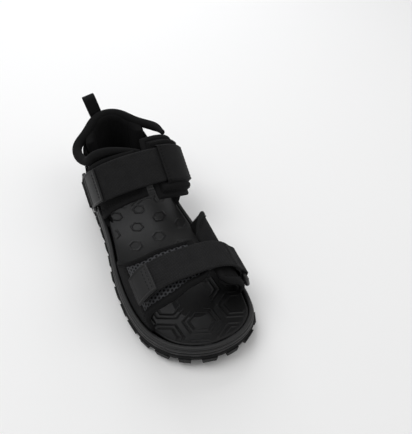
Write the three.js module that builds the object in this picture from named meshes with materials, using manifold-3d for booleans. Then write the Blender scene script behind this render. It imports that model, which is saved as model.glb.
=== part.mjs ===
// Strappy sport sandal, right foot, in millimetres: toe towards -Y, lateral side at -X, ground at Z = 0.
import * as THREE from 'three';
import { mergeVertices } from 'three/addons/utils/BufferGeometryUtils.js';
import Module from 'manifold-3d';

const wasm = await Module();
wasm.setup();

// ---- sole ----
const sole_length = 287;
const plan_table = [
  // distance from the heel as a share of the length, lateral half width, medial half width
  [0.012, 13, 13],
  [0.045, 26.5, 26.5],
  [0.10, 35.5, 35.5],
  [0.18, 40.5, 40],
  [0.30, 41.5, 40],
  [0.40, 43, 39.5],
  [0.50, 46, 41],
  [0.60, 50.5, 44.5],
  [0.70, 53, 48.5],
  [0.79, 53, 51],
  [0.87, 48.5, 50],
  [0.94, 36.5, 43],
  [0.985, 18, 27],
];
const toe_shift = 4; // the toe tip sits this far to the medial side
const toe_spring = 6.5; // rise of the sole at the toe tip
const spring_start = -80; // the sole leaves the ground ahead of this line
const lug_height = 4.4;
const lug_root = 1.8; // how far a tread block reaches into the web
const outsole_web = 3.2;
const layer_gap = 0.6; // glue line between the layers of the sole
const rim_toe = 18.5; // height of the midsole rim at the toe, above the spring
const rim_heel = 30;
const floor_share = 0.42; // height of the cup floor as a share of the midsole height
const ring_steps = 84; // points around the sole
const border = 15; // width of the edge band that follows the outline
const wall_inset = 4.6; // inner face of the midsole rim
const upper_inset = 9.2; // inner face of the upper where it enters the sole
const footbed_inset = 12.2;
const footbed_inset_open = 5.2; // where nothing of the upper enters the sole
const heel_cup_depth = 7;
const forefoot_dish_depth = 3;
const arch_rise = 5;
const shank_width = 24;
const shank_length = 112;
const shank_thick = 1.8;
const shank_middle = 12;

// ---- upper: distances outward from the foot ----
const lining = [-2.5, -1.1];
const shell = [0, 3.2];
const mesh_layer = [3.6, 4.4];
const loop_layer = [4.8, 5.8];
const hook_layer = [6.2, 7.2];
const strap_layer = [7.6, 9.2];
const tab_layer = [9.6, 11.6];

// ---- forefoot arch ----
const forefoot_strap_width = 27;
const forefoot_strap_y = -86;
const forefoot_slope = 0.17; // rise of the instep per millimetre towards the heel
const forefoot_height = 43; // height of the arch above its base at the strap
const forefoot_power = 3.2; // power of the arch section, 2 being an ellipse

// ---- ankle arch ----
const ankle_tilt = THREE.MathUtils.degToRad(40.5);
const ankle_base = new THREE.Vector3(3.5, 50.4, 48);
const ankle_half_width = 40;
const ankle_height = 43;
const ankle_power = 2.4;
const ankle_strap_width = 33;

// ---- rings ----
const bar_radius = 1.9;
const bar_spacing = 10.5;
const loop_inner = 2.4;
const loop_outer = 4.0;
const ring_offset = 7.8; // bar centre, outward from the foot
const bar_sides = 16;
const ring_clear = 1.2; // play between the webbing edge and the end of the ring

// ---- heel ----
const collar_radius = 4.6;
const counter_top = 77.5;
const loop_height = 36;
const loop_tape_width = 13;
const loop_tape_thick = 1.5;
const loop_gap = 7;

const X = new THREE.Vector3(1, 0, 0);
const Z = new THREE.Vector3(0, 0, 1);

// ---------- helpers ----------

function smooth(from, to, value) {
  return THREE.MathUtils.smoothstep(value, from, to);
}

function mix(a, b, share) {
  return a + (b - a) * share;
}

// value read from a list of [position, value] pairs with smooth steps between them
function along(pairs, position) {
  for (let i = 1; i < pairs.length; i += 1) {
    if (position <= pairs[i][0]) {
      const share = (position - pairs[i - 1][0]) / (pairs[i][0] - pairs[i - 1][0]);
      return mix(pairs[i - 1][1], pairs[i][1], Math.max(0, share));
    }
  }
  return pairs[pairs.length - 1][1];
}

function volumeOf(geometry) {
  const p = geometry.attributes.position;
  const index = geometry.index;
  const a = new THREE.Vector3();
  const b = new THREE.Vector3();
  const c = new THREE.Vector3();
  let sum = 0;
  for (let i = 0; i < index.count; i += 3) {
    a.fromBufferAttribute(p, index.getX(i));
    b.fromBufferAttribute(p, index.getX(i + 1));
    c.fromBufferAttribute(p, index.getX(i + 2));
    sum += a.dot(b.cross(c)) / 6;
  }
  return sum;
}

// welds a geometry into one closed skin that faces outward
function weld(source) {
  let geometry = source.clone();
  geometry.deleteAttribute('normal');
  geometry.deleteAttribute('uv');
  geometry = mergeVertices(geometry, 1e-3);
  const kept = [];
  const index = geometry.index.array;
  for (let i = 0; i < index.length; i += 3) {
    const [a, b, c] = [index[i], index[i + 1], index[i + 2]];
    if (a !== b && b !== c && c !== a) {
      kept.push(a, b, c);
    }
  }
  geometry.setIndex(kept);
  if (volumeOf(geometry) < 0) {
    for (let i = 0; i < kept.length; i += 3) {
      [kept[i + 1], kept[i + 2]] = [kept[i + 2], kept[i + 1]];
    }
    geometry.setIndex(kept);
  }
  return geometry;
}

function warp(source, place) {
  const geometry = source.clone();
  const p = geometry.attributes.position;
  for (let i = 0; i < p.count; i += 1) {
    const q = place(p.getX(i), p.getY(i), p.getZ(i));
    p.setXYZ(i, q.x, q.y, q.z);
  }
  return weld(geometry);
}

function toManifold(geometry) {
  const welded = weld(geometry);
  return new wasm.Manifold(new wasm.Mesh({
    numProp: 3,
    vertProperties: Float32Array.from(welded.attributes.position.array),
    triVerts: Uint32Array.from(welded.index.array),
  }));
}

function fromManifold(solid) {
  const mesh = solid.getMesh();
  const geometry = new THREE.BufferGeometry();
  geometry.setAttribute('position', new THREE.BufferAttribute(mesh.vertProperties.slice(), 3));
  geometry.setIndex(new THREE.BufferAttribute(mesh.triVerts.slice(), 1));
  return geometry;
}

function joined(...geometries) {
  return fromManifold(geometries.map(toManifold).reduce((a, b) => a.add(b)));
}

function cut(geometry, ...tools) {
  return fromManifold(tools.map(toManifold).reduce((a, b) => a.subtract(b), toManifold(geometry)));
}

// ---------- sole ----------

function makeOutline() {
  const half = sole_length / 2;
  const lateral = plan_table.map(([s, l]) => new THREE.Vector3(-l + toe_shift * smooth(0.6, 1, s), half - sole_length * s, 0));
  const medial = plan_table.map(([s, , m]) => new THREE.Vector3(m, half - sole_length * s, 0));
  const heel = new THREE.Vector3(0, half, 0);
  const toe = new THREE.Vector3(toe_shift, -half, 0);
  const curve = new THREE.CatmullRomCurve3([heel, ...lateral, toe, ...medial.reverse()], true, 'centripetal');
  curve.arcLengthDivisions = 600;
  return curve;
}

const outline = makeOutline();
const outline_samples = outline.getSpacedPoints(600);

// x of the outline on one side at a given y
function edgeX(side, y) {
  let best = 0;
  for (let i = 0; i < outline_samples.length - 1; i += 1) {
    const a = outline_samples[i];
    const b = outline_samples[i + 1];
    if ((a.y - y) * (b.y - y) <= 0 && a.y !== b.y) {
      const x = mix(a.x, b.x, (y - a.y) / (b.y - a.y));
      if (x * side > best * side) {
        best = x;
      }
    }
  }
  return best;
}

// point of the plan at a share of the way round, a given distance inside the outline
function planPoint(share, inset) {
  const at = ((share % 1) + 1) % 1;
  const p = outline.getPointAt(at);
  const t = outline.getTangentAt(at);
  return new THREE.Vector3(p.x - t.y * inset, p.y + t.x * inset, 0);
}

function lift(y) {
  const toe = Math.max(0, (spring_start - y) / (sole_length / 2 + spring_start));
  const heel = Math.max(0, (y - 118) / 25);
  return toe_spring * toe * toe + 2.5 * heel * heel;
}

function midsoleBottom(y) {
  return lift(y) + lug_height + outsole_web + layer_gap;
}

function rimTop(y) {
  return lift(y) + along([[-142, rim_toe], [-60, 20], [0, 25.5], [60, rim_heel], [142, rim_heel]], y);
}

function footbedInset(y) {
  const behind_toe = smooth(-128, -114, y);
  const between_panels = smooth(-7, -1, y) * (1 - smooth(9, 15, y));
  return mix(footbed_inset_open, footbed_inset, behind_toe * (1 - between_panels));
}

function footbedTop(x, y, share) {
  const dip = along([[-142, 1], [-100, forefoot_dish_depth], [-20, 2.5], [70, heel_cup_depth], [142, heel_cup_depth]], y);
  const arch = arch_rise * Math.exp(-(((y - 15) / 42) ** 2)) * smooth(2, 34, x) * smooth(1.02, 0.6, share);
  return rimTop(y) + 1 - dip * (1 - share * share) + arch;
}

// a lathe body carried onto the plan of the sole: radius 0 to 1 fills the middle and
// radius 1 to 2 is the border band, whose outer edge is the outline
function planBody(profile, height, edge_inset = () => 0) {
  const points = profile.map(([r, h]) => new THREE.Vector2(r, h));
  const lathe = new THREE.LatheGeometry(points, ring_steps);
  return warp(lathe, (x, h, z) => {
    const r = Math.hypot(x, z);
    const share = Math.atan2(x, z) / (2 * Math.PI);
    const level = Math.round(h);
    const edge = edge_inset(planPoint(share, 0).y);
    const p = planPoint(share, r >= 1 ? mix(border, edge, r - 1) : border);
    if (r < 1) {
      p.multiplyScalar(r).add(new THREE.Vector3(-2 * (1 - r), 0, 0));
    }
    p.z = height(p.x, p.y, level, r);
    return p;
  });
}

function bandRadius(inset) {
  return 2 - inset / border;
}

function midsole() {
  // each step: distance inside the outline, share of the wall height
  const wall = [
    [1.4, 0], [0, 0.06], [0, 0.32], [1.4, 0.40], [1.4, 0.45], [0, 0.53],
    [0.1, 0.76], [1.4, 0.82], [1.3, 0.94], [2.6, 1.0], [4.4, 0.98],
    [wall_inset, 0.92], [wall_inset, floor_share],
  ];
  const profile = [[0, 0], [0.5, 1], [0.8, 2], [1, 3]];
  wall.forEach(([inset], i) => profile.push([bandRadius(inset), 4 + i]));
  const last = 4 + wall.length;
  profile.push([1, last], [0.8, last + 1], [0.5, last + 2], [0, last + 3]);
  const floor = [floor_share, floor_share, floor_share, floor_share];
  const shares = [0, 0, 0, 0, ...wall.map(([, s]) => s), ...floor];
  const body = planBody(profile, (x, y, level) => mix(midsoleBottom(y), rimTop(y), shares[level]));
  const recess = new THREE.BoxGeometry(shank_width + 0.6, shank_length + 0.6, 2 * (shank_thick + 0.6));
  recess.translate(-1, shank_middle, midsoleBottom(0));
  return cut(body, recess);
}

function shankPlate() {
  const plate = new THREE.BoxGeometry(shank_width, shank_length, shank_thick, 2, 8, 1);
  return warp(plate, (x, y, z) => {
    const waist = 1 - 0.22 * Math.cos((y / shank_length) * Math.PI);
    return new THREE.Vector3(x * waist - 1, y + shank_middle, z + midsoleBottom(0) + 0.2 + shank_thick / 2);
  });
}

function footbed() {
  const profile = [
    [0, 0], [0.5, 1], [0.8, 2], [1, 3], [1.9, 4], [2, 5], [2, 6], [1.88, 7],
    [1.6, 8], [1, 9], [0.8, 10], [0.5, 11], [0.25, 12], [0, 13],
  ];
  return planBody(profile, (x, y, level, r) => {
    const low = mix(midsoleBottom(y), rimTop(y), floor_share) + layer_gap;
    const share = r >= 1 ? mix(0.88, 1, r - 1) : 0.88 * r;
    const top = footbedTop(x, y, share);
    return [low, low, low, low, low, low + 1, top - 2.2, top - 0.6][level] ?? top;
  }, footbedInset);
}

function outsoleWeb() {
  const profile = [
    [0, 0], [0.5, 1], [0.8, 2], [1, 3], [bandRadius(-0.8), 4], [bandRadius(-0.8), 5],
    [bandRadius(0.4), 6], [1, 7], [0.8, 8], [0.5, 9], [0, 10],
  ];
  const web = outsole_web;
  const up = [0, 0, 0, 0, 0.6, 2.2, web, web, web, web, web];
  return planBody(profile, (x, y, level) => lift(y) + lug_height + up[level]);
}

// a tread block: narrower where it meets the ground
function lug(x, y, turn, width, depth) {
  const block = new THREE.BoxGeometry(width, depth, lug_height);
  const q = new THREE.Vector3();
  return warp(block, (a, b, c) => {
    const draft = c < 0 ? 0.86 : 1;
    q.set(a * draft, b * draft, 0).applyAxisAngle(Z, turn);
    q.x += x;
    q.y += y;
    q.z = lift(q.y) + (c < 0 ? 0 : lug_height + lug_root);
    return q.clone();
  });
}

function outsole() {
  const blocks = [];
  const edge_lugs = 34;
  for (let i = 0; i < edge_lugs; i += 1) {
    const share = (i + 0.5) / edge_lugs;
    const tangent = outline.getTangentAt(share);
    const reach = i % 2 === 0 ? 17 : 13;
    const p = planPoint(share, reach / 2 - 1.9);
    blocks.push(lug(p.x, p.y, Math.atan2(tangent.y, tangent.x), i % 2 === 0 ? 13 : 11, reach));
  }
  for (let row = -5; row <= 5; row += 1) {
    const y = row * 21 + 2;
    const room = Math.min(edgeX(1, y), -edgeX(-1, y)) - 26;
    const middle = (edgeX(1, y) + edgeX(-1, y)) / 2;
    const columns = room > 17 ? [-1, 1] : [0];
    for (const column of columns) {
      const hex = new THREE.CylinderGeometry(7.6, 6.6, lug_height + lug_root, 6);
      hex.rotateX(Math.PI / 2);
      hex.translate(middle + column * 11.5, y + (column === 0 ? 0 : 3), lift(y) + (lug_height + lug_root) / 2);
      blocks.push(hex);
    }
  }
  return joined(outsoleWeb(), ...blocks);
}

// ---------- foot surface at the forefoot ----------

function archPoint(middle, half, height, power, t, d) {
  const at = (s) => {
    const c = -Math.cos(Math.PI * s);
    const u = Math.sin(Math.PI * s);
    return [middle + half * Math.sign(c) * Math.abs(c) ** (2 / power), height * Math.abs(u) ** (2 / power)];
  };
  const share = Math.min(Math.max(t, 0.0), 1.0);
  const [px, pz] = at(share);
  const [ax, az] = at(Math.max(share - 0.004, 0));
  const [bx, bz] = at(Math.min(share + 0.004, 1));
  const size = Math.hypot(bx - ax, bz - az);
  const nx = -(bz - az) / size;
  const nz = (bx - ax) / size;
  return [px + nx * d, pz + nz * d];
}

function rimSection(y) {
  const left = edgeX(-1, y) + upper_inset;
  const right = edgeX(1, y) - upper_inset;
  return { middle: (left + right) / 2, half: (right - left) / 2, base: rimTop(y) - 4 };
}

const strap_section = rimSection(forefoot_strap_y);

// t runs 0 at the lateral rim, over the foot, to 1 at the medial rim
function forefootPoint(t, y, d) {
  const rim = rimSection(y);
  const share = smooth(0, 0.13, Math.min(t, 1 - t));
  const half = mix(rim.half, strap_section.half, share);
  const middle = mix(rim.middle, strap_section.middle, share);
  const rise = (y - forefoot_strap_y) * forefoot_slope;
  const base = mix(rim.base, strap_section.base + rise, share);
  const [x, z] = archPoint(middle, half, forefoot_height, forefoot_power, t, d);
  return new THREE.Vector3(x, y, base + z);
}

// closed curved panel: u and v in 0..1 cover the panel and w runs through its thickness
function panel(steps_u, steps_v, place) {
  const box = new THREE.BoxGeometry(1, 1, 1, steps_u, steps_v, 1);
  return warp(box, (x, y, z) => place(x + 0.5, y + 0.5, z + 0.5));
}

// thickness share that thins a padded panel towards its edges
function pillow(u, v, least) {
  const across = Math.max(0, 1 - Math.abs(2 * v - 1) ** 4);
  const length = Math.max(0, 1 - Math.abs(2 * u - 1) ** 6);
  return mix(least, 1, Math.sqrt(across * length));
}

const lateral_front = [[0, -106], [0.17, -105], [0.32, -108], [0.44, -107], [0.5, -103], [0.56, -98]];
const lateral_rear = [[0, -22], [0.1, -42], [0.3, -60], [0.45, -62], [0.56, -64]];
const medial_front = [[0.59, -104], [0.64, -110], [0.72, -111], [0.88, -108], [1, -104]];
const medial_rear = [[0.59, -62], [0.64, -49], [0.72, -37], [0.85, -24], [1, -11]];

function vampPanel(range, front, rear, layer, steps, v_range = [0, 1], least = 0.45) {
  return panel(steps[0], steps[1], (u, v, w) => {
    const t = mix(range[0], range[1], u);
    const y = mix(along(front, t), along(rear, t), mix(v_range[0], v_range[1], v));
    const thick = (layer[1] - layer[0]) * pillow(u, v, least);
    return forefootPoint(t, y, layer[0] + thick * w);
  });
}

function vampLateral() {
  return vampPanel([0.0, 0.56], lateral_front, lateral_rear, shell, [12, 6]);
}

function vampLateralLining() {
  return vampPanel([0.03, 0.545], lateral_front, lateral_rear, lining, [12, 6], [0.03, 0.97], 1);
}

function vampMesh() {
  return vampPanel([0.14, 0.53], lateral_front, lateral_rear, mesh_layer, [9, 4], [0.1, 0.9], 1);
}

function vampMedial() {
  return vampPanel([1.0, 0.59], medial_front, medial_rear, shell, [9, 5]);
}

function vampMedialLining() {
  return vampPanel([0.97, 0.61], medial_front, medial_rear, lining, [9, 5], [0.03, 0.97], 1);
}

// ---------- strap bands: a section carried straight across the band's width ----------

const forefoot_frame = {
  axis: new THREE.Vector3(0, 1, forefoot_slope).normalize(),
  point(t, d) {
    return forefootPoint(t, forefoot_strap_y, d);
  },
  up: Z,
};

const ankle_up = new THREE.Vector3(0, -Math.sin(ankle_tilt), Math.cos(ankle_tilt));
const ankle_axis = new THREE.Vector3(0, Math.cos(ankle_tilt), Math.sin(ankle_tilt));

const ankle_frame = {
  axis: ankle_axis,
  point(t, d) {
    const [x, w] = archPoint(0, ankle_half_width, ankle_height, ankle_power, t, d);
    return ankle_base.clone().addScaledVector(X, x).addScaledVector(ankle_up, w);
  },
  up: ankle_up,
};

function band(frame, range, layer, width, steps, shift = 0, corner = 0) {
  return panel(steps[0], steps[1], (u, v, w) => {
    const a = 2 * u - 1;
    const b = 2 * v - 1;
    const ua = a * Math.sqrt(1 - corner * b * b);
    const vb = b * Math.sqrt(1 - corner * a * a);
    const t = mix(range[0], range[1], (ua + 1) / 2);
    const d = mix(layer[0], layer[1], w);
    return frame.point(t, d).addScaledVector(frame.axis, shift + (vb * width) / 2);
  });
}

// rod across the band, centred on a ring bar
function rodAt(frame, centre, radius, width) {
  const rod = new THREE.CylinderGeometry(radius, radius, width, bar_sides);
  const side = new THREE.Vector3().crossVectors(X, frame.axis);
  rod.applyMatrix4(new THREE.Matrix4().makeBasis(X, frame.axis, side));
  rod.translate(centre.x, centre.y, centre.z);
  return rod;
}

// webbing joined to a fold round a ring bar, with room left for the bar
function foldedRound(frame, centre, width, ...webbing) {
  const fold = rodAt(frame, centre, loop_outer, width);
  return cut(joined(fold, ...webbing), rodAt(frame, centre, loop_inner, width + 6));
}

// rectangular ring: a torus whose circle is drawn out to a rounded rectangle
function ringBody(frame, upper, lower, width) {
  const half_w = width / 2 + ring_clear + bar_radius;
  const half_h = upper.distanceTo(lower) / 2;
  const middle = upper.clone().add(lower).multiplyScalar(0.5);
  const down = lower.clone().sub(upper).normalize();
  const out = new THREE.Vector3().crossVectors(frame.axis, down).normalize();
  const corner = 3;
  const path = new THREE.Shape();
  path.absarc(half_w - corner, half_h - corner, corner, 0, Math.PI / 2);
  path.absarc(-half_w + corner, half_h - corner, corner, Math.PI / 2, Math.PI);
  path.absarc(-half_w + corner, -half_h + corner, corner, Math.PI, 1.5 * Math.PI);
  path.absarc(half_w - corner, -half_h + corner, corner, 1.5 * Math.PI, 2 * Math.PI);
  path.closePath();
  const corners = path.getPoints(3);
  const steps = corners.length - 1;
  const torus = new THREE.TorusGeometry(10, bar_radius, 6, steps);
  return warp(torus, (x, y, z) => {
    const angle = (Math.atan2(y, x) + 2 * Math.PI) % (2 * Math.PI);
    const step = Math.round((angle / (2 * Math.PI)) * steps) % steps;
    const here = corners[step];
    const before = corners[(step + steps - 1) % steps];
    const after = corners[(step + 1) % steps];
    const away = Math.hypot(x, y) - 10;
    const side = new THREE.Vector2().subVectors(here, before).normalize();
    const next = new THREE.Vector2().subVectors(after, here).normalize();
    const normal = new THREE.Vector2(side.y + next.y, -side.x - next.x).normalize();
    const stretch = 1 / Math.max(0.8, Math.cos(Math.acos(Math.min(1, side.dot(next))) / 2));
    const a = here.x + normal.x * away * stretch;
    const b = here.y + normal.y * away * stretch;
    return middle.clone().addScaledVector(frame.axis, a).addScaledVector(down, -b).addScaledVector(out, z);
  });
}

// ---------- forefoot strap ----------

const forefoot_bar_t = 0.87;
const forefoot_upper_bar = forefoot_frame.point(forefoot_bar_t, ring_offset);
const forefoot_lower_bar = forefoot_upper_bar.clone().add(new THREE.Vector3(2.2, 0, -bar_spacing));

function forefootRing() {
  return ringBody(forefoot_frame, forefoot_upper_bar, forefoot_lower_bar, forefoot_strap_width);
}

function forefootStrap() {
  const end = forefoot_bar_t - 0.012;
  const strap = band(forefoot_frame, [0.22, end], strap_layer, forefoot_strap_width, [22, 1]);
  const turn_in = band(forefoot_frame, [0.72, end], [5.8, 7.9], forefoot_strap_width, [8, 1]);
  return foldedRound(forefoot_frame, forefoot_upper_bar, forefoot_strap_width, strap, turn_in);
}

// webbing that comes up out of the sole on the outside of the vamp and holds the lower bar
function forefootRingAnchor() {
  const width = forefoot_strap_width - 2;
  const foot = panel(2, 3, (u, v, w) => {
    const top = forefoot_lower_bar.clone().addScaledVector(forefoot_frame.axis, (v - 0.5) * width);
    const low = forefootPoint(1, top.y, 3.8 + 1.2 * w);
    low.z = rimTop(top.y) + 0.5;
    top.x += -3.9 + 1.2 * w;
    top.z -= 0.8;
    return low.lerp(top, u);
  });
  return foldedRound(forefoot_frame, forefoot_lower_bar, width, foot);
}

function forefootTab() {
  return band(forefoot_frame, [0.195, 0.345], tab_layer, forefoot_strap_width - 1, [6, 6], 0, 0.09);
}

function forefootHookPatch() {
  return band(forefoot_frame, [0.24, 0.46], hook_layer, forefoot_strap_width - 3, [8, 1]);
}

function forefootLoopPatch() {
  return band(forefoot_frame, [0.23, 0.53], loop_layer, forefoot_strap_width - 4, [9, 1]);
}

// ---------- ankle ----------

const lateral_join = 0.3; // share of the lateral panel that lies below the ankle arch
const medial_join = 0.72;

// lateral or medial side panel: s runs 0 at the sole to 1 at the end over the instep
function quarterPoint(side, s, v, d, join, reach) {
  const end_t = side < 0 ? reach : 1 - reach;
  const base_t = side < 0 ? 0 : 1;
  const across = mix(-24, 24, v);
  if (s >= join) {
    const share = (s - join) / (1 - join);
    const narrow = mix(1, 0.86, share);
    return ankle_frame.point(mix(base_t, end_t, share), d).addScaledVector(ankle_axis, across * narrow);
  }
  const share = s / join;
  const y = mix(18, 82, v);
  const rim = edgeX(side, y) - side * upper_inset;
  const foot = new THREE.Vector3(rim + side * d, y, rimTop(y) - 1.1);
  const knee = ankle_frame.point(base_t, d).addScaledVector(ankle_axis, across);
  return foot.lerp(knee, share);
}

function quarterPanel(side, s_range, v_range, layer, steps, join, reach, least = 1) {
  return panel(steps[0], steps[1], (u, v, w) => {
    const s = mix(s_range[0], s_range[1], u);
    const thick = (layer[1] - layer[0]) * pillow(u, v, least);
    return quarterPoint(side, s, mix(v_range[0], v_range[1], v), layer[0] + thick * w, join, reach);
  });
}

function quarterLateral() {
  return quarterPanel(-1, [0, 1], [0, 1], shell, [14, 5], lateral_join, 0.49, 0.6);
}

function quarterLateralLining() {
  return quarterPanel(-1, [0.05, 0.96], [0.04, 0.96], lining, [14, 5], lateral_join, 0.49);
}

function quarterMedial() {
  return quarterPanel(1, [0, 1], [0, 1], shell, [8, 5], medial_join, 0.06, 0.7);
}

function quarterMedialLining() {
  return quarterPanel(1, [0.06, 0.96], [0.04, 0.96], lining, [8, 5], medial_join, 0.06);
}

const medial_upper_bar = ankle_frame.point(0.955, ring_offset);
const medial_lower_bar = medial_upper_bar.clone().addScaledVector(ankle_up, -bar_spacing);
const lateral_shift = 2;
const lateral_upper_bar = ankle_frame.point(0, ring_offset).addScaledVector(ankle_axis, lateral_shift);
const lateral_lower_bar = lateral_upper_bar.clone().addScaledVector(ankle_up, -bar_spacing);

function medialRing() {
  return ringBody(ankle_frame, medial_upper_bar, medial_lower_bar, ankle_strap_width);
}

function lateralRing() {
  return ringBody(ankle_frame, lateral_upper_bar, lateral_lower_bar, ankle_strap_width - 3);
}

function ankleStrap() {
  const strap = band(ankle_frame, [0.075, 0.943], strap_layer, ankle_strap_width, [22, 1]);
  return foldedRound(ankle_frame, medial_upper_bar, ankle_strap_width, strap);
}

function ankleTab() {
  return band(ankle_frame, [0.05, 0.205], tab_layer, ankle_strap_width - 1, [6, 6], 0, 0.09);
}

function ankleHookPatch() {
  return band(ankle_frame, [0.1, 0.4], hook_layer, ankle_strap_width - 3, [8, 1]);
}

function ankleLoopPatch() {
  return band(ankle_frame, [0.13, 0.48], [4.2, 5.4], ankle_strap_width - 4, [9, 1]);
}

function instepPad() {
  return panel(10, 6, (u, v, w) => {
    const a = 2 * u - 1;
    const b = 2 * v - 1;
    const ua = a * Math.sqrt(1 - 0.14 * b * b);
    const vb = b * Math.sqrt(1 - 0.14 * a * a);
    const t = mix(0.515, 0.93, (ua + 1) / 2);
    const thick = 6.9 * pillow(u, v, 0.45);
    return ankle_frame.point(t, thick * w).addScaledVector(ankle_axis, -1 + vb * 31);
  });
}

// sleeve over the strap: a flat top with two sides that come down to the pad
function padSleeve() {
  const width = ankle_strap_width + 2.4;
  const top = band(ankle_frame, [0.6, 0.9], [9.7, 11.1], width + 2.8, [8, 2]);
  const front = band(ankle_frame, [0.6, 0.9], [7.4, 10.4], 1.4, [8, 1], -(width + 1.4) / 2);
  const rear = band(ankle_frame, [0.6, 0.9], [7.4, 10.4], 1.4, [8, 1], (width + 1.4) / 2);
  return joined(top, front, rear);
}

// webbing that comes up out of the sole on the outside of a side panel and holds a ring bar
function sideAnchor(side, lower_bar, width, join) {
  const foot = panel(2, 3, (u, v, w) => {
    const top = lower_bar.clone().addScaledVector(ankle_axis, (v - 0.5) * width);
    const at = (top.y - 18) / 64;
    const low = quarterPoint(side, join * 0.2, at, 3.8 + 1.3 * w, join, 0.5);
    low.z = Math.max(low.z, rimTop(low.y) + 0.8);
    top.x -= side * (3.9 - 1.2 * w);
    top.addScaledVector(ankle_up, -0.8);
    return low.lerp(top, u);
  });
  return foldedRound(ankle_frame, lower_bar, width, foot);
}

function medialRingAnchor() {
  return sideAnchor(1, medial_lower_bar, ankle_strap_width - 2, medial_join);
}

function lateralRingAnchor() {
  return sideAnchor(-1, lateral_lower_bar, ankle_strap_width - 5, lateral_join);
}

// webbing sewn to the lateral side panel and folded round the upper bar of the ring
function lateralRingWeb() {
  const width = ankle_strap_width - 5;
  const tongue = panel(5, 1, (u, v, w) => {
    const across = lateral_shift + (v - 0.5) * width;
    return ankle_frame.point(0.11 * u, 3.8 + 1.3 * w).addScaledVector(ankle_axis, across);
  });
  return foldedRound(ankle_frame, lateral_upper_bar, width, tongue);
}

// ---------- heel ----------

// wall of the heel: side runs from -1 (lateral end) through 0 (back) to 1 (medial end)
function heelPoint(side, z, d) {
  const share = -side * 0.098;
  const base = rimTop(planPoint(share, 0).y) - 4;
  const climb = (z - base) / 60;
  const lean = mix(5, -3.5, smooth(0, 1, Math.abs(side)));
  const p = planPoint(share, upper_inset - d + lean * climb * climb);
  p.z = z;
  return p;
}

function heelTop(side) {
  return counter_top - 15 * side * side;
}

function heelBottom(side) {
  return rimTop(planPoint(-side * 0.098, 0).y) - 4;
}

function heelCounter() {
  return panel(14, 4, (u, v, w) => {
    const side = mix(-1, 1, u);
    return heelPoint(side, mix(heelBottom(side), heelTop(side), v), mix(0.3, 2.6, w));
  });
}

function heelPad() {
  return panel(12, 5, (u, v, w) => {
    const side = mix(-0.86, 0.86, u);
    const thick = 8.5 * pillow(u, v, 0.3);
    return heelPoint(side, mix(heelBottom(side) + 10.5, heelTop(side) - 1, v), -0.4 - thick * (1 - w));
  });
}

// band round the outside of the heel, from near the back to the rear edge of a side panel
function heelStrap(side) {
  const join = side < 0 ? lateral_join : medial_join;
  return panel(14, 2, (u, v, w) => {
    const d = mix(3.2, 5, w);
    const reach = Math.min(1, u / 0.6);
    const back = heelPoint(side * mix(0.27, 1, reach), mix(50 - 5 * reach, 68 - 9 * reach, v), d);
    const front = quarterPoint(side, join * mix(0.5, 0.86, v), 1, d + 0.6, join, 0.5);
    return back.lerp(front, Math.max(0, (u - 0.6) / 0.4));
  });
}

// centre line of the padded roll: over the lateral side panel, round the heel, to the medial side
function collarPath() {
  const points = [];
  for (const t of [0.42, 0.32, 0.22, 0.12, 0.04]) {
    points.push(ankle_frame.point(t, 1.2).addScaledVector(ankle_axis, 29.4 - 2 * t));
  }
  points.push(new THREE.Vector3(-43, 85, 68), new THREE.Vector3(-41, 101, 70.5));
  for (const side of [-0.7, -0.35, 0, 0.35, 0.7]) {
    points.push(heelPoint(side, heelTop(side) + collar_radius + 1.2, -1.2));
  }
  points.push(new THREE.Vector3(41.5, 101, 73), new THREE.Vector3(44, 88, 76), new THREE.Vector3(44.5, 76, 78));
  return new THREE.CatmullRomCurve3(points);
}

function collarRoll() {
  const shape = new THREE.Shape();
  shape.absarc(0, 0, collar_radius, 0, 2 * Math.PI, false);
  return new THREE.ExtrudeGeometry(shape, {
    steps: 40,
    curveSegments: 5,
    bevelEnabled: false,
    extrudePath: collarPath(),
  });
}

// folded tape, flat at its sewn foot and open above it
function pullLoop() {
  const half = loop_gap / 2 + loop_tape_thick;
  const inner = loop_gap / 2;
  const outer = new THREE.Shape();
  outer.moveTo(-loop_tape_thick - 0.1, 0);
  outer.lineTo(loop_tape_thick + 0.1, 0);
  outer.lineTo(loop_tape_thick + 0.4, 9);
  outer.quadraticCurveTo(half, 14, half, 21);
  outer.lineTo(half, loop_height - half);
  outer.absarc(0, loop_height - half, half, 0, Math.PI, false);
  outer.lineTo(-half, 21);
  outer.quadraticCurveTo(-half, 14, -loop_tape_thick - 0.4, 9);
  outer.closePath();
  const hole = new THREE.Path();
  hole.moveTo(0, 10);
  hole.quadraticCurveTo(-inner, 14, -inner, 21);
  hole.lineTo(-inner, loop_height - half);
  hole.absarc(0, loop_height - half, inner, Math.PI, 0, true);
  hole.lineTo(inner, 21);
  hole.quadraticCurveTo(inner, 14, 0, 10);
  outer.holes.push(hole);
  const body = new THREE.ExtrudeGeometry(outer, { depth: loop_tape_width, bevelEnabled: false, curveSegments: 5 });
  body.translate(0, 0, -loop_tape_width / 2);
  return body;
}

// ---------- assembly ----------

const group = new THREE.Group();

function add(name, geometry, color, roughness, metalness = 0) {
  const material = new THREE.MeshStandardMaterial({ color, roughness, metalness });
  const clean = weld(geometry);
  clean.computeVertexNormals();
  const mesh = new THREE.Mesh(clean, material);
  mesh.name = name;
  group.add(mesh);
  return mesh;
}

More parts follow.
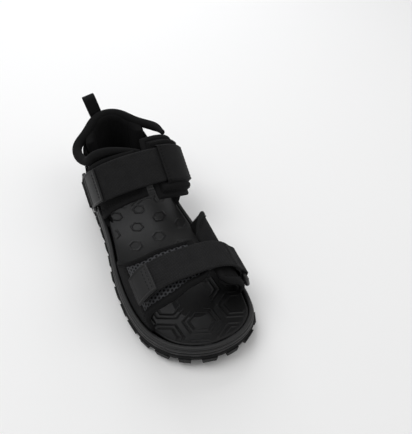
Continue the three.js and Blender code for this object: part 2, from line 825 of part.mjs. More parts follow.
add('outsole', outsole(), '#161616', 0.75);
add('midsole', midsole(), '#1b1b1c', 0.7);
add('shank_plate', shankPlate(), '#101012', 0.5);
add('footbed', footbed(), '#19191b', 0.62);
add('vamp_lateral', vampLateral(), '#151516', 0.9);
add('vamp_lateral_lining', vampLateralLining(), '#131314', 0.95);
add('vamp_mesh', vampMesh(), '#202124', 0.85);
add('vamp_medial', vampMedial(), '#151516', 0.9);
add('vamp_medial_lining', vampMedialLining(), '#131314', 0.95);
add('forefoot_ring', forefootRing(), '#232325', 0.35);
add('forefoot_ring_anchor', forefootRingAnchor(), '#151516', 0.85);
add('forefoot_strap', forefootStrap(), '#1a1a1b', 0.85);
add('forefoot_hook_patch', forefootHookPatch(), '#121213', 0.95);
add('forefoot_loop_patch', forefootLoopPatch(), '#121213', 0.95);
add('forefoot_tab', forefootTab(), '#2b2b2d', 0.5);
add('quarter_lateral', quarterLateral(), '#151516', 0.9);
add('quarter_lateral_lining', quarterLateralLining(), '#131314', 0.95);
add('quarter_medial', quarterMedial(), '#151516', 0.9);
add('quarter_medial_lining', quarterMedialLining(), '#131314', 0.95);
add('lateral_ring', lateralRing(), '#232325', 0.35);
add('lateral_ring_anchor', lateralRingAnchor(), '#151516', 0.85);
add('lateral_ring_web', lateralRingWeb(), '#151516', 0.85);
add('medial_ring', medialRing(), '#232325', 0.35);
add('medial_ring_anchor', medialRingAnchor(), '#151516', 0.85);
add('ankle_strap', ankleStrap(), '#1a1a1b', 0.85);
add('ankle_hook_patch', ankleHookPatch(), '#121213', 0.95);
add('ankle_loop_patch', ankleLoopPatch(), '#121213', 0.95);
add('ankle_tab', ankleTab(), '#2b2b2d', 0.5);
add('instep_pad', instepPad(), '#171718', 0.92);
add('pad_sleeve', padSleeve(), '#1c1c1e', 0.8);
add('heel_counter', heelCounter(), '#151516', 0.9);
add('heel_pad', heelPad(), '#121213', 0.95);
add('heel_strap_lateral', heelStrap(-1), '#161617', 0.88);
add('heel_strap_medial', heelStrap(1), '#161617', 0.88);
add('collar_roll', collarRoll(), '#131314', 0.92);

const pull = add('pull_loop', pullLoop(), '#141415', 0.85);
const loop_up = new THREE.Vector3(-0.2, 0.1, 1).normalize();
const loop_side = X.clone().addScaledVector(loop_up, -X.dot(loop_up)).normalize();
const loop_back = new THREE.Vector3().crossVectors(loop_up, loop_side);
pull.quaternion.setFromRotationMatrix(new THREE.Matrix4().makeBasis(loop_back, loop_up, loop_side));
pull.position.copy(heelPoint(-0.13, 67, 5.4));

export default group;
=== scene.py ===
"""Strappy sport sandal, right foot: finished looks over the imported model.

Lengths in the shape functions are millimetres and become metres when a mesh is made.
Toe towards -Y, outer (lateral) side at -X, ground at Z = 0.
"""
import math
import bpy
import numpy as np
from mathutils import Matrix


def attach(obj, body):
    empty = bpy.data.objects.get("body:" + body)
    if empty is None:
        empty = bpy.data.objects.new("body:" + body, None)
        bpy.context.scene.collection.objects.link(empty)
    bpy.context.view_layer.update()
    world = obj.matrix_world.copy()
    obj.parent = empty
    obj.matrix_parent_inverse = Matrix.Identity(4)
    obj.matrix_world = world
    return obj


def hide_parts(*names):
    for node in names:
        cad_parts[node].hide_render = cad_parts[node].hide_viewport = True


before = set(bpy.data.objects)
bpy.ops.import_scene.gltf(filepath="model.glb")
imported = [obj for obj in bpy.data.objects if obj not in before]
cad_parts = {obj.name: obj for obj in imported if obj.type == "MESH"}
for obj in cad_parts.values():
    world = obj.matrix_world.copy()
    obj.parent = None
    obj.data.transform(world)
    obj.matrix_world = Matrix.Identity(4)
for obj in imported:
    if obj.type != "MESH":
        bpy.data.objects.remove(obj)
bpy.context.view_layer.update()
MM = 0.001

# ---------- camera ----------


def place_camera(position, target, lens):
    """A level camera at position that looks at target, both in metres."""
    data = bpy.data.cameras.new("camera")
    data.lens = lens
    data.sensor_width = 36.0
    data.clip_end = 20.0
    camera = bpy.data.objects.new("camera", data)
    bpy.context.scene.collection.objects.link(camera)
    camera.location = position
    way = np.array(target) - np.array(position)
    flat = math.hypot(way[0], way[1])
    camera.rotation_euler = (math.pi / 2 + math.atan2(way[2], flat), 0, math.atan2(-way[0], way[1]))
    bpy.context.scene.camera = camera


place_camera((-0.0929, -0.3195, 0.3575), (0.0657, 0.0169, 0.0), 39.6)

# ---------- numbers ----------

CLOTH = "cloth"  # name of the map that carries a fabric's own width and length


def mix(a, b, share):
    return a + (b - a) * share


def smooth(start, end, value):
    t = np.clip((value - start) / (end - start), 0, 1)
    return t * t * (3 - 2 * t)


def eased(table, x):
    """Values of a [position, value] table, joined by a smooth Hermite curve."""
    px, py = np.array(table, float).T
    slope = np.gradient(py, px)
    x = np.clip(x, px[0], px[-1])
    i = np.clip(np.searchsorted(px, x) - 1, 0, len(px) - 2)
    h = px[i + 1] - px[i]
    t = (x - px[i]) / h
    a = (2 * t**3 - 3 * t**2 + 1) * py[i] + (t**3 - 2 * t**2 + t) * h * slope[i]
    return a + (3 * t**2 - 2 * t**3) * py[i + 1] + (t**3 - t**2) * h * slope[i + 1]


def unit(v):
    v = np.asarray(v, float)
    return v / np.linalg.norm(v, axis=-1, keepdims=True)


def eased_share(n, ease):
    """n shares from 0 to 1: even where ease is 0, and closer together near both ends as it grows."""
    s = np.linspace(0, 1, n)
    return ease * (0.5 - 0.5 * np.cos(np.pi * s)) + (1 - ease) * s


def crowded(n):
    return eased_share(n, 0.55)


def travelled(path):
    """Distance along a path of points, from 0 at its first point."""
    return np.concatenate([[0], np.cumsum(np.linalg.norm(np.diff(path, axis=0), axis=1))])


def same_shape(*values):
    """Numbers and arrays brought to one common shape."""
    return np.broadcast_arrays(*(np.asarray(value, float) for value in values))


def spread(path, n):
    """n points at equal steps along a path of points."""
    length = travelled(path)
    at = np.linspace(0, length[-1], n)
    return np.stack([np.interp(at, length, path[:, k]) for k in range(path.shape[1])], 1)


def rounded(points, n):
    """n points on a smooth (centripetal Catmull-Rom) curve through the given points."""
    p = np.array(points, float)
    p = np.vstack([2 * p[0] - p[1], p, 2 * p[-1] - p[-2]])
    pieces = [catmull(*p[i:i + 4], np.linspace(0, 1, 30, endpoint=False)) for i in range(len(p) - 3)]
    return spread(np.vstack(pieces + [p[-2:-1]]), n)


def catmull(p0, p1, p2, p3, t):
    d0, d1, d2 = (max(np.linalg.norm(b - a) ** 0.5, 1e-6) for a, b in ((p0, p1), (p1, p2), (p2, p3)))
    t1 = ((p1 - p0) / d0 - (p2 - p0) / (d0 + d1) + (p2 - p1) / d1) * d1
    t2 = ((p2 - p1) / d1 - (p3 - p1) / (d1 + d2) + (p3 - p2) / d2) * d1
    t = t[:, None]
    return p1 + t1 * t + (3 * (p2 - p1) - 2 * t1 - t2) * t**2 + (2 * (p1 - p2) + t1 + t2) * t**3


# ---------- sole plan ----------

SOLE = 287.0
PLAN = np.array([
    # share of the length from the heel, outer half width, inner half width
    [0.012, 13, 13], [0.045, 26.5, 26.5], [0.10, 35.5, 35.5], [0.18, 40.5, 40], [0.30, 41.5, 40],
    [0.40, 43, 39.5], [0.50, 46, 41], [0.60, 50.5, 44.5], [0.70, 53, 48.5], [0.79, 53, 51],
    [0.87, 48.5, 50], [0.94, 36.5, 43], [0.985, 18, 27],
])
TOE_SHIFT = 4.0
LUG, WEB, GLUE = 4.4, 3.2, 0.6  # tread block, outsole web and the glue line over it
FLOOR_SHARE = 0.42  # height of the midsole's floor, as a share of its wall
UPPER_INSET = 9.2  # how far inside the outline the upper stands
RIM_BURY = 4  # how far the panels reach below the midsole's rim
HEEL_SPAN = 0.098  # share of the outline from the back of the heel to either end of its wall


def make_outline():
    """The closed outline of the sole, from the heel round the outer side, as 1200 even points."""
    half = SOLE / 2
    y = half - SOLE * PLAN[:, 0]
    outer = np.stack([-PLAN[:, 1] + TOE_SHIFT * smooth(0.6, 1, PLAN[:, 0]), y], 1)
    inner = np.stack([PLAN[:, 2], y], 1)[::-1]
    p = np.vstack([[0, half], outer, [TOE_SHIFT, -half], inner])
    n = len(p)
    t = np.linspace(0, 1, 40, endpoint=False)
    curve = np.vstack([catmull(p[i - 1], p[i], p[(i + 1) % n], p[(i + 2) % n], t) for i in range(n)])
    return spread(np.vstack([curve, curve[:1]]), 1201)[:-1]


OUTLINE = make_outline()
TOE_AT = int(np.argmin(OUTLINE[:, 1]))


def plan_point(share, inset):
    """Point at a share of the way round the outline, inset millimetres inside it."""
    at = np.mod(share, 1) * len(OUTLINE)
    k = np.arange(len(OUTLINE) + 1)
    loop = np.vstack([OUTLINE, OUTLINE[:1]])
    tangent = unit(np.roll(OUTLINE, -1, 0) - np.roll(OUTLINE, 1, 0))
    tangent = np.vstack([tangent, tangent[:1]])
    x, y, tx, ty = (np.interp(at, k, c) for c in (loop[:, 0], loop[:, 1], tangent[:, 0], tangent[:, 1]))
    return x - ty * inset, y + tx * inset


def edge_x(side, y):
    """x of the outline at y, on the outer side (-1) or the inner side (1)."""
    part = OUTLINE[:TOE_AT + 1][::-1] if side < 0 else np.vstack([OUTLINE[TOE_AT:], OUTLINE[:1]])
    return np.interp(y, part[:, 1], part[:, 0])


def lift(y):
    toe = np.maximum(0, (-80 - y) / (SOLE / 2 - 80))
    heel = np.maximum(0, (y - 118) / 25)
    return 6.5 * toe * toe + 2.5 * heel * heel


def midsole_bottom(y):
    return lift(y) + LUG + WEB + GLUE


def rim_top(y):
    return lift(y) + np.interp(y, [-142, -60, 0, 60, 142], [18.5, 20, 25.5, 30, 30])


# ---------- foot surfaces ----------


def arch(middle, half, height, power, t, d):
    """Point on a super-ellipse arch: t runs 0 to 1 from the outer foot to the inner foot, d is outward."""
    def at(s):
        c, u = -np.cos(np.pi * s), np.sin(np.pi * s)
        return middle + half * np.sign(c) * np.abs(c) ** (2 / power), height * np.abs(u) ** (2 / power)
    s = np.clip(t, 0, 1)
    (px, pz), (ax, az), (bx, bz) = at(s), at(np.maximum(s - 0.004, 0)), at(np.minimum(s + 0.004, 1))
    size = np.hypot(bx - ax, bz - az)
    return px - (bz - az) / size * d, pz + (bx - ax) / size * d


STRAP_Y, SLOPE = -86.0, 0.17
FOREFOOT_AXIS = unit([0, 1, SLOPE])


def rim_section(y):
    left = edge_x(-1, y) + UPPER_INSET
    right = edge_x(1, y) - UPPER_INSET
    return (left + right) / 2, (right - left) / 2, rim_top(y) - RIM_BURY


def forefoot(t, y, d):
    """Surface over the forefoot, fixed to the sole rim at both ends of the arch."""
    t, y, d = same_shape(t, y, d)
    middle, half, base = rim_section(y)
    sm, sh, sb = rim_section(STRAP_Y)
    share = smooth(0, 0.13, np.minimum(t, 1 - t))
    x, z = arch(mix(middle, sm, share), mix(half, sh, share), 43.0, 3.2, t, d)
    return np.stack([x, y, z + mix(base, sb + (y - STRAP_Y) * SLOPE, share)], -1)


TILT = math.radians(40.5)
ANKLE_BASE = np.array([3.5, 50.4, 48.0])
ANKLE_UP = np.array([0, -math.sin(TILT), math.cos(TILT)])
ANKLE_AXIS = np.array([0, math.cos(TILT), math.sin(TILT)])


def ankle(t, across, d):
    """Surface over the instep: an arch in a plane that leans towards the toe, carried across."""
    t, across, d = same_shape(t, across, d)
    x, w = arch(0.0, 40.0, 43.0, 2.4, t, d)
    return (ANKLE_BASE + x[..., None] * np.array([1.0, 0, 0]) + w[..., None] * ANKLE_UP
            + across[..., None] * ANKLE_AXIS)


def quarter(side, s, v, d, join, reach):
    """Side panel: s 0 at the sole to 1 over the instep, straight up to the ankle arch and then along it."""
    s, v, d = same_shape(s, v, d)
    end_t, base_t = (reach, 0.0) if side < 0 else (1 - reach, 1.0)
    across = mix(-29 if side < 0 else -22, 24, v)
    share = np.clip((s - join) / (1 - join), 0, 1)
    over = ankle(mix(base_t, end_t, share), across * mix(1, 0.86, share), d)
    y = mix(18, 82, v)
    foot = np.stack([edge_x(side, y) - side * UPPER_INSET + side * d, y, rim_top(y) - 1.1], -1)
    knee = ankle(np.full_like(s, base_t), across, d)
    low = foot + (knee - foot) * np.clip(s / join, 0, 1)[..., None]
    return np.where((s >= join)[..., None], over, low)


def heel_wall(side, z, d):
    """Wall round the heel: side -1 at the outer end, 0 at the back, 1 at the inner end; d is outward."""
    side, z, d = same_shape(side, z, d)
    share = -side * HEEL_SPAN
    base = rim_top(plan_point(share, 0)[1]) - RIM_BURY
    climb = (z - base) / 60
    lean = mix(5, -3.5, smooth(0, 1, np.abs(side)))
    x, y = plan_point(share, UPPER_INSET - d + lean * climb * climb)
    return np.stack([x, y, z], -1)


def heel_top(side):
    return 77.5 - 15 * side * side


def heel_bottom(side):
    return rim_top(plan_point(-np.asarray(side) * HEEL_SPAN, 0)[1]) - RIM_BURY


# ---------- mesh makers ----------


def mesh_piece(name, verts, faces, uv, material, body, replaced):
    """A piece from vertices and a per-corner cloth map, both in millimetres. faces is one array of
    faces, or a list of arrays where some have three corners and some have four."""
    mesh = bpy.data.meshes.new(name)
    parts = faces if isinstance(faces, list) else [faces]
    mesh.from_pydata((verts * MM).tolist(), [], sum((part.tolist() for part in parts), []))
    if uv is not None:
        layer = mesh.uv_layers.new(name=CLOTH)
        layer.data.foreach_set("uv", (uv.reshape(-1, 2) * MM).ravel().astype(np.float32))
    mesh.polygons.foreach_set("use_smooth", np.full(len(mesh.polygons), True))
    mesh.update()
    mesh.materials.append(material)
    piece = bpy.data.objects.new(name, mesh)
    bpy.context.scene.collection.objects.link(piece)
    if replaced:
        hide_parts(*replaced)
    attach(piece, body)
    return piece


def quads(index):
    """The four-cornered faces of a grid of vertex numbers."""
    return np.stack([index[:-1, :-1], index[1:, :-1], index[1:, 1:], index[:-1, 1:]], -1).reshape(-1, 4)


def volume(verts, faces):
    """Six times the volume inside four-cornered faces: its sign tells whether they face out."""
    a, b, c, d = (verts[faces[:, k]] for k in range(4))
    return np.einsum("ij,ij->", a, np.cross(b, c)) + np.einsum("ij,ij->", a, np.cross(c, d))


def skin(top, bottom, name, material, replaced=(), body="sandal"):
    """Closed skin between two grids whose outer rows meet: a padded or woven piece.
    The cloth map follows the grid: distances along its middle row and its middle column."""
    rows, cols = top.shape[:2]
    index = np.arange(rows * cols).reshape(rows, cols)
    under = index.copy()
    inner = np.zeros((rows, cols), bool)
    inner[1:-1, 1:-1] = True
    under[inner] = rows * cols + np.arange(inner.sum())
    border = (top + bottom) / 2
    top = np.where(inner[..., None], top, border)
    verts = np.vstack([top.reshape(-1, 3), bottom[inner]])
    faces = np.vstack([quads(index), quads(under)[:, ::-1]])
    along = travelled(top[:, cols // 2]), travelled(top[rows // 2])
    spot = np.stack(np.meshgrid(*along, indexing="ij"), -1).reshape(-1, 2)
    grid = quads(index)
    uv = np.vstack([spot[grid], spot[grid][:, ::-1]])
    if volume(verts, faces) < 0:
        faces, uv = faces[:, ::-1], uv[:, ::-1]
    return mesh_piece(name, verts, faces, uv, material, body, replaced)


def tube(path, radius, name, material, replaced=(), body="sandal", closed=False, sides=20,
         up=(0, 0, 1)):
    """A round body along a path; radius is one number or one per point. Open ends are domed."""
    path = np.asarray(path, float)
    n = len(path)
    radius = np.broadcast_to(np.asarray(radius, float), (n,)).copy()
    if not closed:
        dome = np.array([0.0, 0.45, 0.8])
        reach = np.array([1.0, 0.88, 0.58])[:, None]
        head = path[0] + unit(path[0] - path[1]) * reach * radius[0]
        tail = path[-1] + unit(path[-1] - path[-2]) * reach[::-1] * radius[-1]
        path = np.vstack([head, path, tail])
        radius = np.concatenate([dome * radius[0], radius, dome[::-1] * radius[-1]])
        n = len(path)
    tangent = np.roll(path, -1, 0) - np.roll(path, 1, 0)
    if not closed:
        tangent[0], tangent[-1] = path[1] - path[0], path[-1] - path[-2]
    tangent = unit(tangent)
    side = unit(np.cross(tangent, np.broadcast_to(np.asarray(up, float), tangent.shape)))
    lift_way = np.cross(side, tangent)
    angle = np.linspace(0, 2 * np.pi, sides, endpoint=False)
    ring = (path[:, None] + radius[:, None, None] * (np.cos(angle)[None, :, None] * side[:, None]
            + np.sin(angle)[None, :, None] * lift_way[:, None]))
    index = np.arange(n * sides).reshape(n, sides)
    index = np.hstack([index, index[:, :1]])
    length = travelled(path)
    around = np.linspace(0, 2 * np.pi * radius.max(), sides + 1)
    if closed:
        index = np.vstack([index, index[:1]])
        length = np.append(length, length[-1] + np.linalg.norm(path[0] - path[-1]))
    spot = np.stack(np.meshgrid(length, around, indexing="ij"), -1)
    numbers = np.arange(spot.shape[0] * spot.shape[1]).reshape(spot.shape[:2])
    faces = quads(index)
    uv = spot.reshape(-1, 2)[quads(numbers)]
    verts = ring.reshape(-1, 3)
    if volume(verts, faces) < 0:
        faces, uv = faces[:, ::-1], uv[:, ::-1]
    return mesh_piece(name, verts, faces, uv, material, body, replaced)


def edge_distance(u, v, length_u, length_v):
    """Distance from the nearest edge of a panel, in millimetres."""
    return np.minimum(np.minimum(u, 1 - u) * length_u, np.minimum(v, 1 - v) * length_v)


def bulge(e, radius):
    """Quarter-round rise from the edge: 0 at the edge, 1 from radius inwards."""
    return np.sqrt(np.clip(1 - (1 - np.clip(e / radius, 0, 1)) ** 2, 0, 1))


def channel(e, at, width=0.8):
    """A sewn channel: 1 in the groove, falling off to both sides."""
    return np.exp(-((e - at) / width) ** 2)


STITCH_FACES = 34  # faces of one stitch: five bands of six, and two at each end


def stitch_row(points, normal, pitch=3.2, long=2.1, wide=0.62, high=0.34):
    """A row of stitches: short rounded bars along a path of points that lie on the surface."""
    points = np.asarray(points, float)
    normal = np.broadcast_to(np.asarray(normal, float), points.shape)
    count = max(2, int(np.linalg.norm(np.diff(points, axis=0), axis=1).sum() / pitch))
    both = spread(np.hstack([points, normal * 1e-3]), 2 * count + 1)[1::2]
    ahead = spread(points, 4 * count + 1)
    way = unit(ahead[3::4] - ahead[1::4])
    at, up = both[:, :3], unit(both[:, 3:])
    side = unit(np.cross(up, way))
    a = np.linspace(-1, 1, 6)
    b = np.linspace(0, 2 * np.pi, 6, endpoint=False)
    size = np.sqrt(1 - a**2 * 0.96)
    lx = (a * long / 2)[None, :, None, None] * way[:, None, None]
    ly = (size[:, None] * np.cos(b) * wide / 2)[None, ..., None] * side[:, None, None]
    lz = (size[:, None] * np.sin(b) * high)[None, ..., None] * up[:, None, None]
    verts = (at[:, None, None] + lx + ly + lz).reshape(-1, 3)
    one = np.arange(36).reshape(6, 6)
    one = quads(np.hstack([one, one[:, :1]]))
    caps = np.array([[0, 1, 2, 3], [0, 3, 4, 5], [33, 32, 31, 30], [35, 34, 33, 30]])
    one = np.vstack([one, caps])
    faces = (one[None] + 36 * np.arange(count)[:, None, None]).reshape(-1, 4)
    return verts, faces


def sew(rows, name, material, body="sandal"):
    """Joins several stitch rows into one piece."""
    verts, faces, start = [], [], 0
    for row in rows:
        verts.append(row[0])
        faces.append(row[1] + start)
        start += len(row[0])
    verts, faces = np.vstack(verts), np.vstack(faces)
    if volume(verts, faces[:STITCH_FACES]) < 0:
        faces = faces[:, ::-1]
    return mesh_piece(name, verts, faces, None, material, body, ())


# ---------- material groups ----------


def wire(tree, a, b):
    tree.links.new(a, b)


def maths(tree, kind, a, b=None, c=None, clamp=False):
    """A Math node; each input is a number or an output socket."""
    n = tree.nodes.new("ShaderNodeMath")
    n.operation = kind
    n.use_clamp = clamp
    for k, value in enumerate((a, b, c)):
        if value is None:
            continue
        if isinstance(value, (int, float)):
            n.inputs[k].default_value = value
        else:
            wire(tree, value, n.inputs[k])
    return n.outputs[0]


def group(name, inputs, outputs):
    """An empty shader group: inputs are (name, kind, default), outputs are (name, kind)."""
    tree = bpy.data.node_groups.new(name, "ShaderNodeTree")
    for label, kind, default in inputs:
        socket = tree.interface.new_socket(name=label, in_out="INPUT", socket_type=kind)
        if default is not None:
            socket.default_value = default
    for label, kind in outputs:
        tree.interface.new_socket(name=label, in_out="OUTPUT", socket_type=kind)
    start = tree.nodes.new("NodeGroupInput")
    end = tree.nodes.new("NodeGroupOutput")
    return tree, start.outputs, end.inputs


FLOAT, VECTOR = "NodeSocketFloat", "NodeSocketVector"


def noise(tree, vector, scale, detail=2.0, rough=0.5):
    n = tree.nodes.new("ShaderNodeTexNoise")
    n.inputs["Detail"].default_value = detail
    n.inputs["Roughness"].default_value = rough
    if isinstance(scale, (int, float)):
        n.inputs["Scale"].default_value = scale
    else:
        wire(tree, scale, n.inputs["Scale"])
    wire(tree, vector, n.inputs["Vector"])
    return n.outputs["Fac"]


def separated(tree, vector):
    n = tree.nodes.new("ShaderNodeSeparateXYZ")
    wire(tree, vector, n.inputs[0])
    return n.outputs


def make_weave():
    """Plain weave: threads pass over and under each other, one lattice of bumps per pitch.
    Height is 0 to 1, Thread is a per-thread shade, Slub is the slow unevenness of the yarn."""
    inputs = [("Vector", VECTOR, None), ("Pitch", FLOAT, 0.001), ("Slant", FLOAT, 0.0)]
    tree, i, o = group("thread_weave", inputs, [("Height", FLOAT), ("Thread", FLOAT), ("Slub", FLOAT)])
    cut = separated(tree, i["Vector"])
    x = maths(tree, "DIVIDE", cut["X"], i["Pitch"])
    y = maths(tree, "DIVIDE", cut["Y"], i["Pitch"])
    x = maths(tree, "ADD", x, maths(tree, "MULTIPLY", y, i["Slant"]))
    sx = maths(tree, "SINE", maths(tree, "MULTIPLY", x, math.pi))
    sy = maths(tree, "SINE", maths(tree, "MULTIPLY", y, math.pi))
    cross = maths(tree, "MULTIPLY", sx, sy)
    wire(tree, maths(tree, "MULTIPLY_ADD", cross, 0.5, 0.5), o["Height"])
    speck = noise(tree, i["Vector"], maths(tree, "DIVIDE", 0.7, i["Pitch"]), 1.0)
    wire(tree, speck, o["Thread"])
    wire(tree, noise(tree, i["Vector"], 90.0, 3.0), o["Slub"])
    return tree


def make_holes():
    """A regular lattice of six-sided holes: Open is 1 in a hole and 0 on the yarn between them."""
    inputs = [("Vector", VECTOR, None), ("Pitch", FLOAT, 0.003), ("Size", FLOAT, 0.5)]
    tree, i, o = group("hole_lattice", inputs, [("Open", FLOAT), ("Yarn", FLOAT)])
    cut = separated(tree, i["Vector"])
    k = maths(tree, "DIVIDE", 4 * math.pi / math.sqrt(3), i["Pitch"])
    x = maths(tree, "MULTIPLY", cut["X"], k)
    y = maths(tree, "MULTIPLY", cut["Y"], k)
    half_x = maths(tree, "MULTIPLY", x, 0.5)
    high_y = maths(tree, "MULTIPLY", y, math.sqrt(3) / 2)
    a = maths(tree, "COSINE", x)
    b = maths(tree, "COSINE", maths(tree, "ADD", half_x, high_y))
    c = maths(tree, "COSINE", maths(tree, "SUBTRACT", half_x, high_y))
    total = maths(tree, "ADD", maths(tree, "ADD", a, b), c)
    share = maths(tree, "DIVIDE", maths(tree, "ADD", total, 1.5), 4.5)
    span = tree.nodes.new("ShaderNodeMapRange")
    span.interpolation_type = "SMOOTHSTEP"
    wire(tree, share, span.inputs["Value"])
    wire(tree, maths(tree, "SUBTRACT", i["Size"], 0.12), span.inputs["From Min"])
    wire(tree, maths(tree, "ADD", i["Size"], 0.12), span.inputs["From Max"])
    wire(tree, span.outputs[0], o["Open"])
    wire(tree, maths(tree, "SUBTRACT", 1.0, span.outputs[0]), o["Yarn"])
    return tree


def make_grain():
    """Fine moulded or brushed grain with a slow patchiness on top, both centred on 0.5."""
    inputs = [("Vector", VECTOR, None), ("Fine", FLOAT, 2500.0), ("Slow", FLOAT, 25.0)]
    tree, i, o = group("fine_grain", inputs, [("Grain", FLOAT), ("Patch", FLOAT)])
    wire(tree, noise(tree, i["Vector"], i["Fine"], 2.0, 0.6), o["Grain"])
    wire(tree, noise(tree, i["Vector"], i["Slow"], 3.0), o["Patch"])
    return tree


GROUPS = {"weave": make_weave(), "holes": make_holes(), "grain": make_grain()}


def use(tree, key, vector, **values):
    n = tree.nodes.new("ShaderNodeGroup")
    n.node_tree = GROUPS[key]
    wire(tree, vector, n.inputs["Vector"])
    for name, value in values.items():
        n.inputs[name].default_value = value
    return n.outputs


FABRIC_SHEEN = 0.02


def start_material(name, roughness, specular, sheen=0.0, coat=0.0):
    material = bpy.data.materials.new(name)
    material.use_nodes = True
    tree = material.node_tree
    shader = tree.nodes["Principled BSDF"]
    shader.inputs["Roughness"].default_value = roughness
    shader.inputs["Specular IOR Level"].default_value = specular
    shader.inputs["Sheen Weight"].default_value = sheen
    shader.inputs["Sheen Roughness"].default_value = 0.5
    shader.inputs["Sheen Tint"].default_value = (0.3, 0.3, 0.32, 1)
    shader.inputs["Coat Weight"].default_value = coat
    shader.inputs["Coat Roughness"].default_value = 0.25
    return material, tree, shader


def where(tree, kind):
    """Object coordinates for moulded pieces, or the cloth's own map for fabric."""
    if kind == "cloth":
        n = tree.nodes.new("ShaderNodeUVMap")
        n.uv_map = CLOTH
        return n.outputs[0]
    return tree.nodes.new("ShaderNodeTexCoord").outputs["Object"]


def grey(v):
    return (v, v, v * 1.03)


def two_tone(tree, share, low, high, shader):
    ramp = tree.nodes.new("ShaderNodeMix")
    ramp.data_type = "RGBA"
    ramp.inputs["A"].default_value = (*low, 1)
    ramp.inputs["B"].default_value = (*high, 1)
    wire(tree, share, ramp.inputs["Factor"])
    wire(tree, ramp.outputs["Result"], shader.inputs["Base Color"])


def raise_surface(tree, height, shader, distance, strength=1.0):
    bump = tree.nodes.new("ShaderNodeBump")
    bump.inputs["Distance"].default_value = distance
    bump.inputs["Strength"].default_value = strength
    wire(tree, height, bump.inputs["Height"])
    wire(tree, bump.outputs[0], shader.inputs["Normal"])


def woven(name, low, high, pitch, roughness=0.85, slant=0.0):
    """Woven tape or cloth: low is painted shade in the hollows between the threads and high the colour of the
    raised threads.
    """
    material, tree, shader = start_material(name, roughness, 0.07, FABRIC_SHEEN)
    weave = use(tree, "weave", where(tree, "cloth"), Pitch=pitch, Slant=slant)
    # Painted shade: the colour follows the weave's height, darker where the threads dip; the thread and slub
    # noise are the yarn's own tone.
    shade = maths(tree, "MULTIPLY", weave["Thread"], weave["Height"])
    shade = maths(tree, "ADD", shade, maths(tree, "MULTIPLY", weave["Slub"], 0.35))
    two_tone(tree, maths(tree, "MULTIPLY", shade, 1.0, clamp=True), grey(low), grey(high), shader)
    raise_surface(tree, maths(tree, "ADD", weave["Height"], weave["Slub"]), shader, 0.00025, 0.8)
    return material


def patchy(tree, grain, share):
    """Slow patches and fine grain added up: share of the patches and the rest of the grain."""
    slow = maths(tree, "MULTIPLY", grain["Patch"], share)
    return maths(tree, "ADD", slow, maths(tree, "MULTIPLY", grain["Grain"], 1 - share))


def moulded(name, low, high, roughness, fine=2200.0, slow=22.0, depth=0.00006, coat=0.0, specular=0.16):
    """Moulded rubber, foam or plastic with a fine grain and a roughness that drifts slowly."""
    material, tree, shader = start_material(name, roughness, specular, coat=coat)
    grain = use(tree, "grain", where(tree, "object"), Fine=fine, Slow=slow)
    two_tone(tree, patchy(tree, grain, 0.7), grey(low), grey(high), shader)
    span = maths(tree, "MULTIPLY_ADD", grain["Patch"], 0.16, roughness - 0.08)
    wire(tree, span, shader.inputs["Roughness"])
    raise_surface(tree, grain["Grain"], shader, depth, 0.9)
    return material


def napped(name, low, high, fine=1500.0, roughness=0.92, depth=0.00018):
    """Soft brushed or knitted cloth."""
    material, tree, shader = start_material(name, roughness, 0.05, FABRIC_SHEEN)
    grain = use(tree, "grain", where(tree, "cloth"), Fine=fine, Slow=60.0)
    two_tone(tree, patchy(tree, grain, 0.5), grey(low), grey(high), shader)
    height = maths(tree, "ADD", grain["Grain"], maths(tree, "MULTIPLY", grain["Patch"], 1.6))
    raise_surface(tree, height, shader, depth, 0.8)
    return material


def air_mesh(name):
    """Open spacer mesh: six-sided holes painted near black, painted shade over the dark fabric below, between
    lighter glossy yarn.
    """
    material, tree, shader = start_material(name, 0.6, 0.1)
    holes = use(tree, "holes", where(tree, "cloth"), Pitch=0.0034, Size=0.40)
    # The near-black hole colour is painted shade: the shadowed hollow and dark fabric seen through each hole.
    two_tone(tree, holes["Yarn"], (0.003, 0.003, 0.0035), (0.045, 0.046, 0.050), shader)
    raise_surface(tree, holes["Yarn"], shader, 0.0006, 1.0)
    return material


LOOK = {
    "outsole": moulded("outsole_rubber_look", 0.007, 0.017, 0.62, slow=30.0, depth=0.0001),
    "midsole": moulded("midsole_foam_look", 0.010, 0.021, 0.52, fine=1800.0, depth=0.00012,
                       specular=0.34),
    "footbed": moulded("footbed_foam_look", 0.006, 0.012, 0.40, fine=2600.0, depth=0.00005,
                       specular=0.18),
    "shank": moulded("shank_nylon_look", 0.015, 0.025, 0.4),
    "upper": napped("upper_fabric_look", 0.006, 0.015, fine=1900.0),
    "lining": napped("lining_fabric_look", 0.006, 0.013, fine=1300.0),
    "pad": napped("pad_fabric_look", 0.007, 0.015, fine=2100.0),
    "mesh": air_mesh("air_mesh_look"),
    "strap": woven("strap_webbing_look", 0.004, 0.030, 0.00085),
    "tape": woven("tape_look", 0.004, 0.020, 0.0011, slant=0.5),
    "sleeve": woven("sleeve_fabric_look", 0.007, 0.02, 0.0007, roughness=0.75),
    "ring": moulded("ring_plastic_look", 0.018, 0.035, 0.24, fine=900.0, depth=0.00003, coat=0.4),
    "tab": moulded("tab_rubber_look", 0.016, 0.024, 0.42, fine=3000.0, depth=0.00006),
    "thread": napped("thread_look", 0.006, 0.012, roughness=0.7),
    "hook": napped("hook_tape_look", 0.006, 0.014, fine=2600.0, roughness=0.95, depth=0.0004),
}

# ---------- sole ----------

SOLE_STEPS = 360


def sole_rings(profile, height):
    """Rings of points round the sole: each profile entry is a distance inside the outline and a share of
    the way from there to the middle line."""
    share = np.linspace(0, 1, SOLE_STEPS, endpoint=False)
    rings = []
    for ring, (inset, inward) in enumerate(profile):
        x, y = plan_point(share, inset)
        x, y = x * (1 - inward) - 2 * inward, y * (1 - inward)
        rings.append(np.stack([x, y, height(y, ring)], -1))
    return np.array(rings)


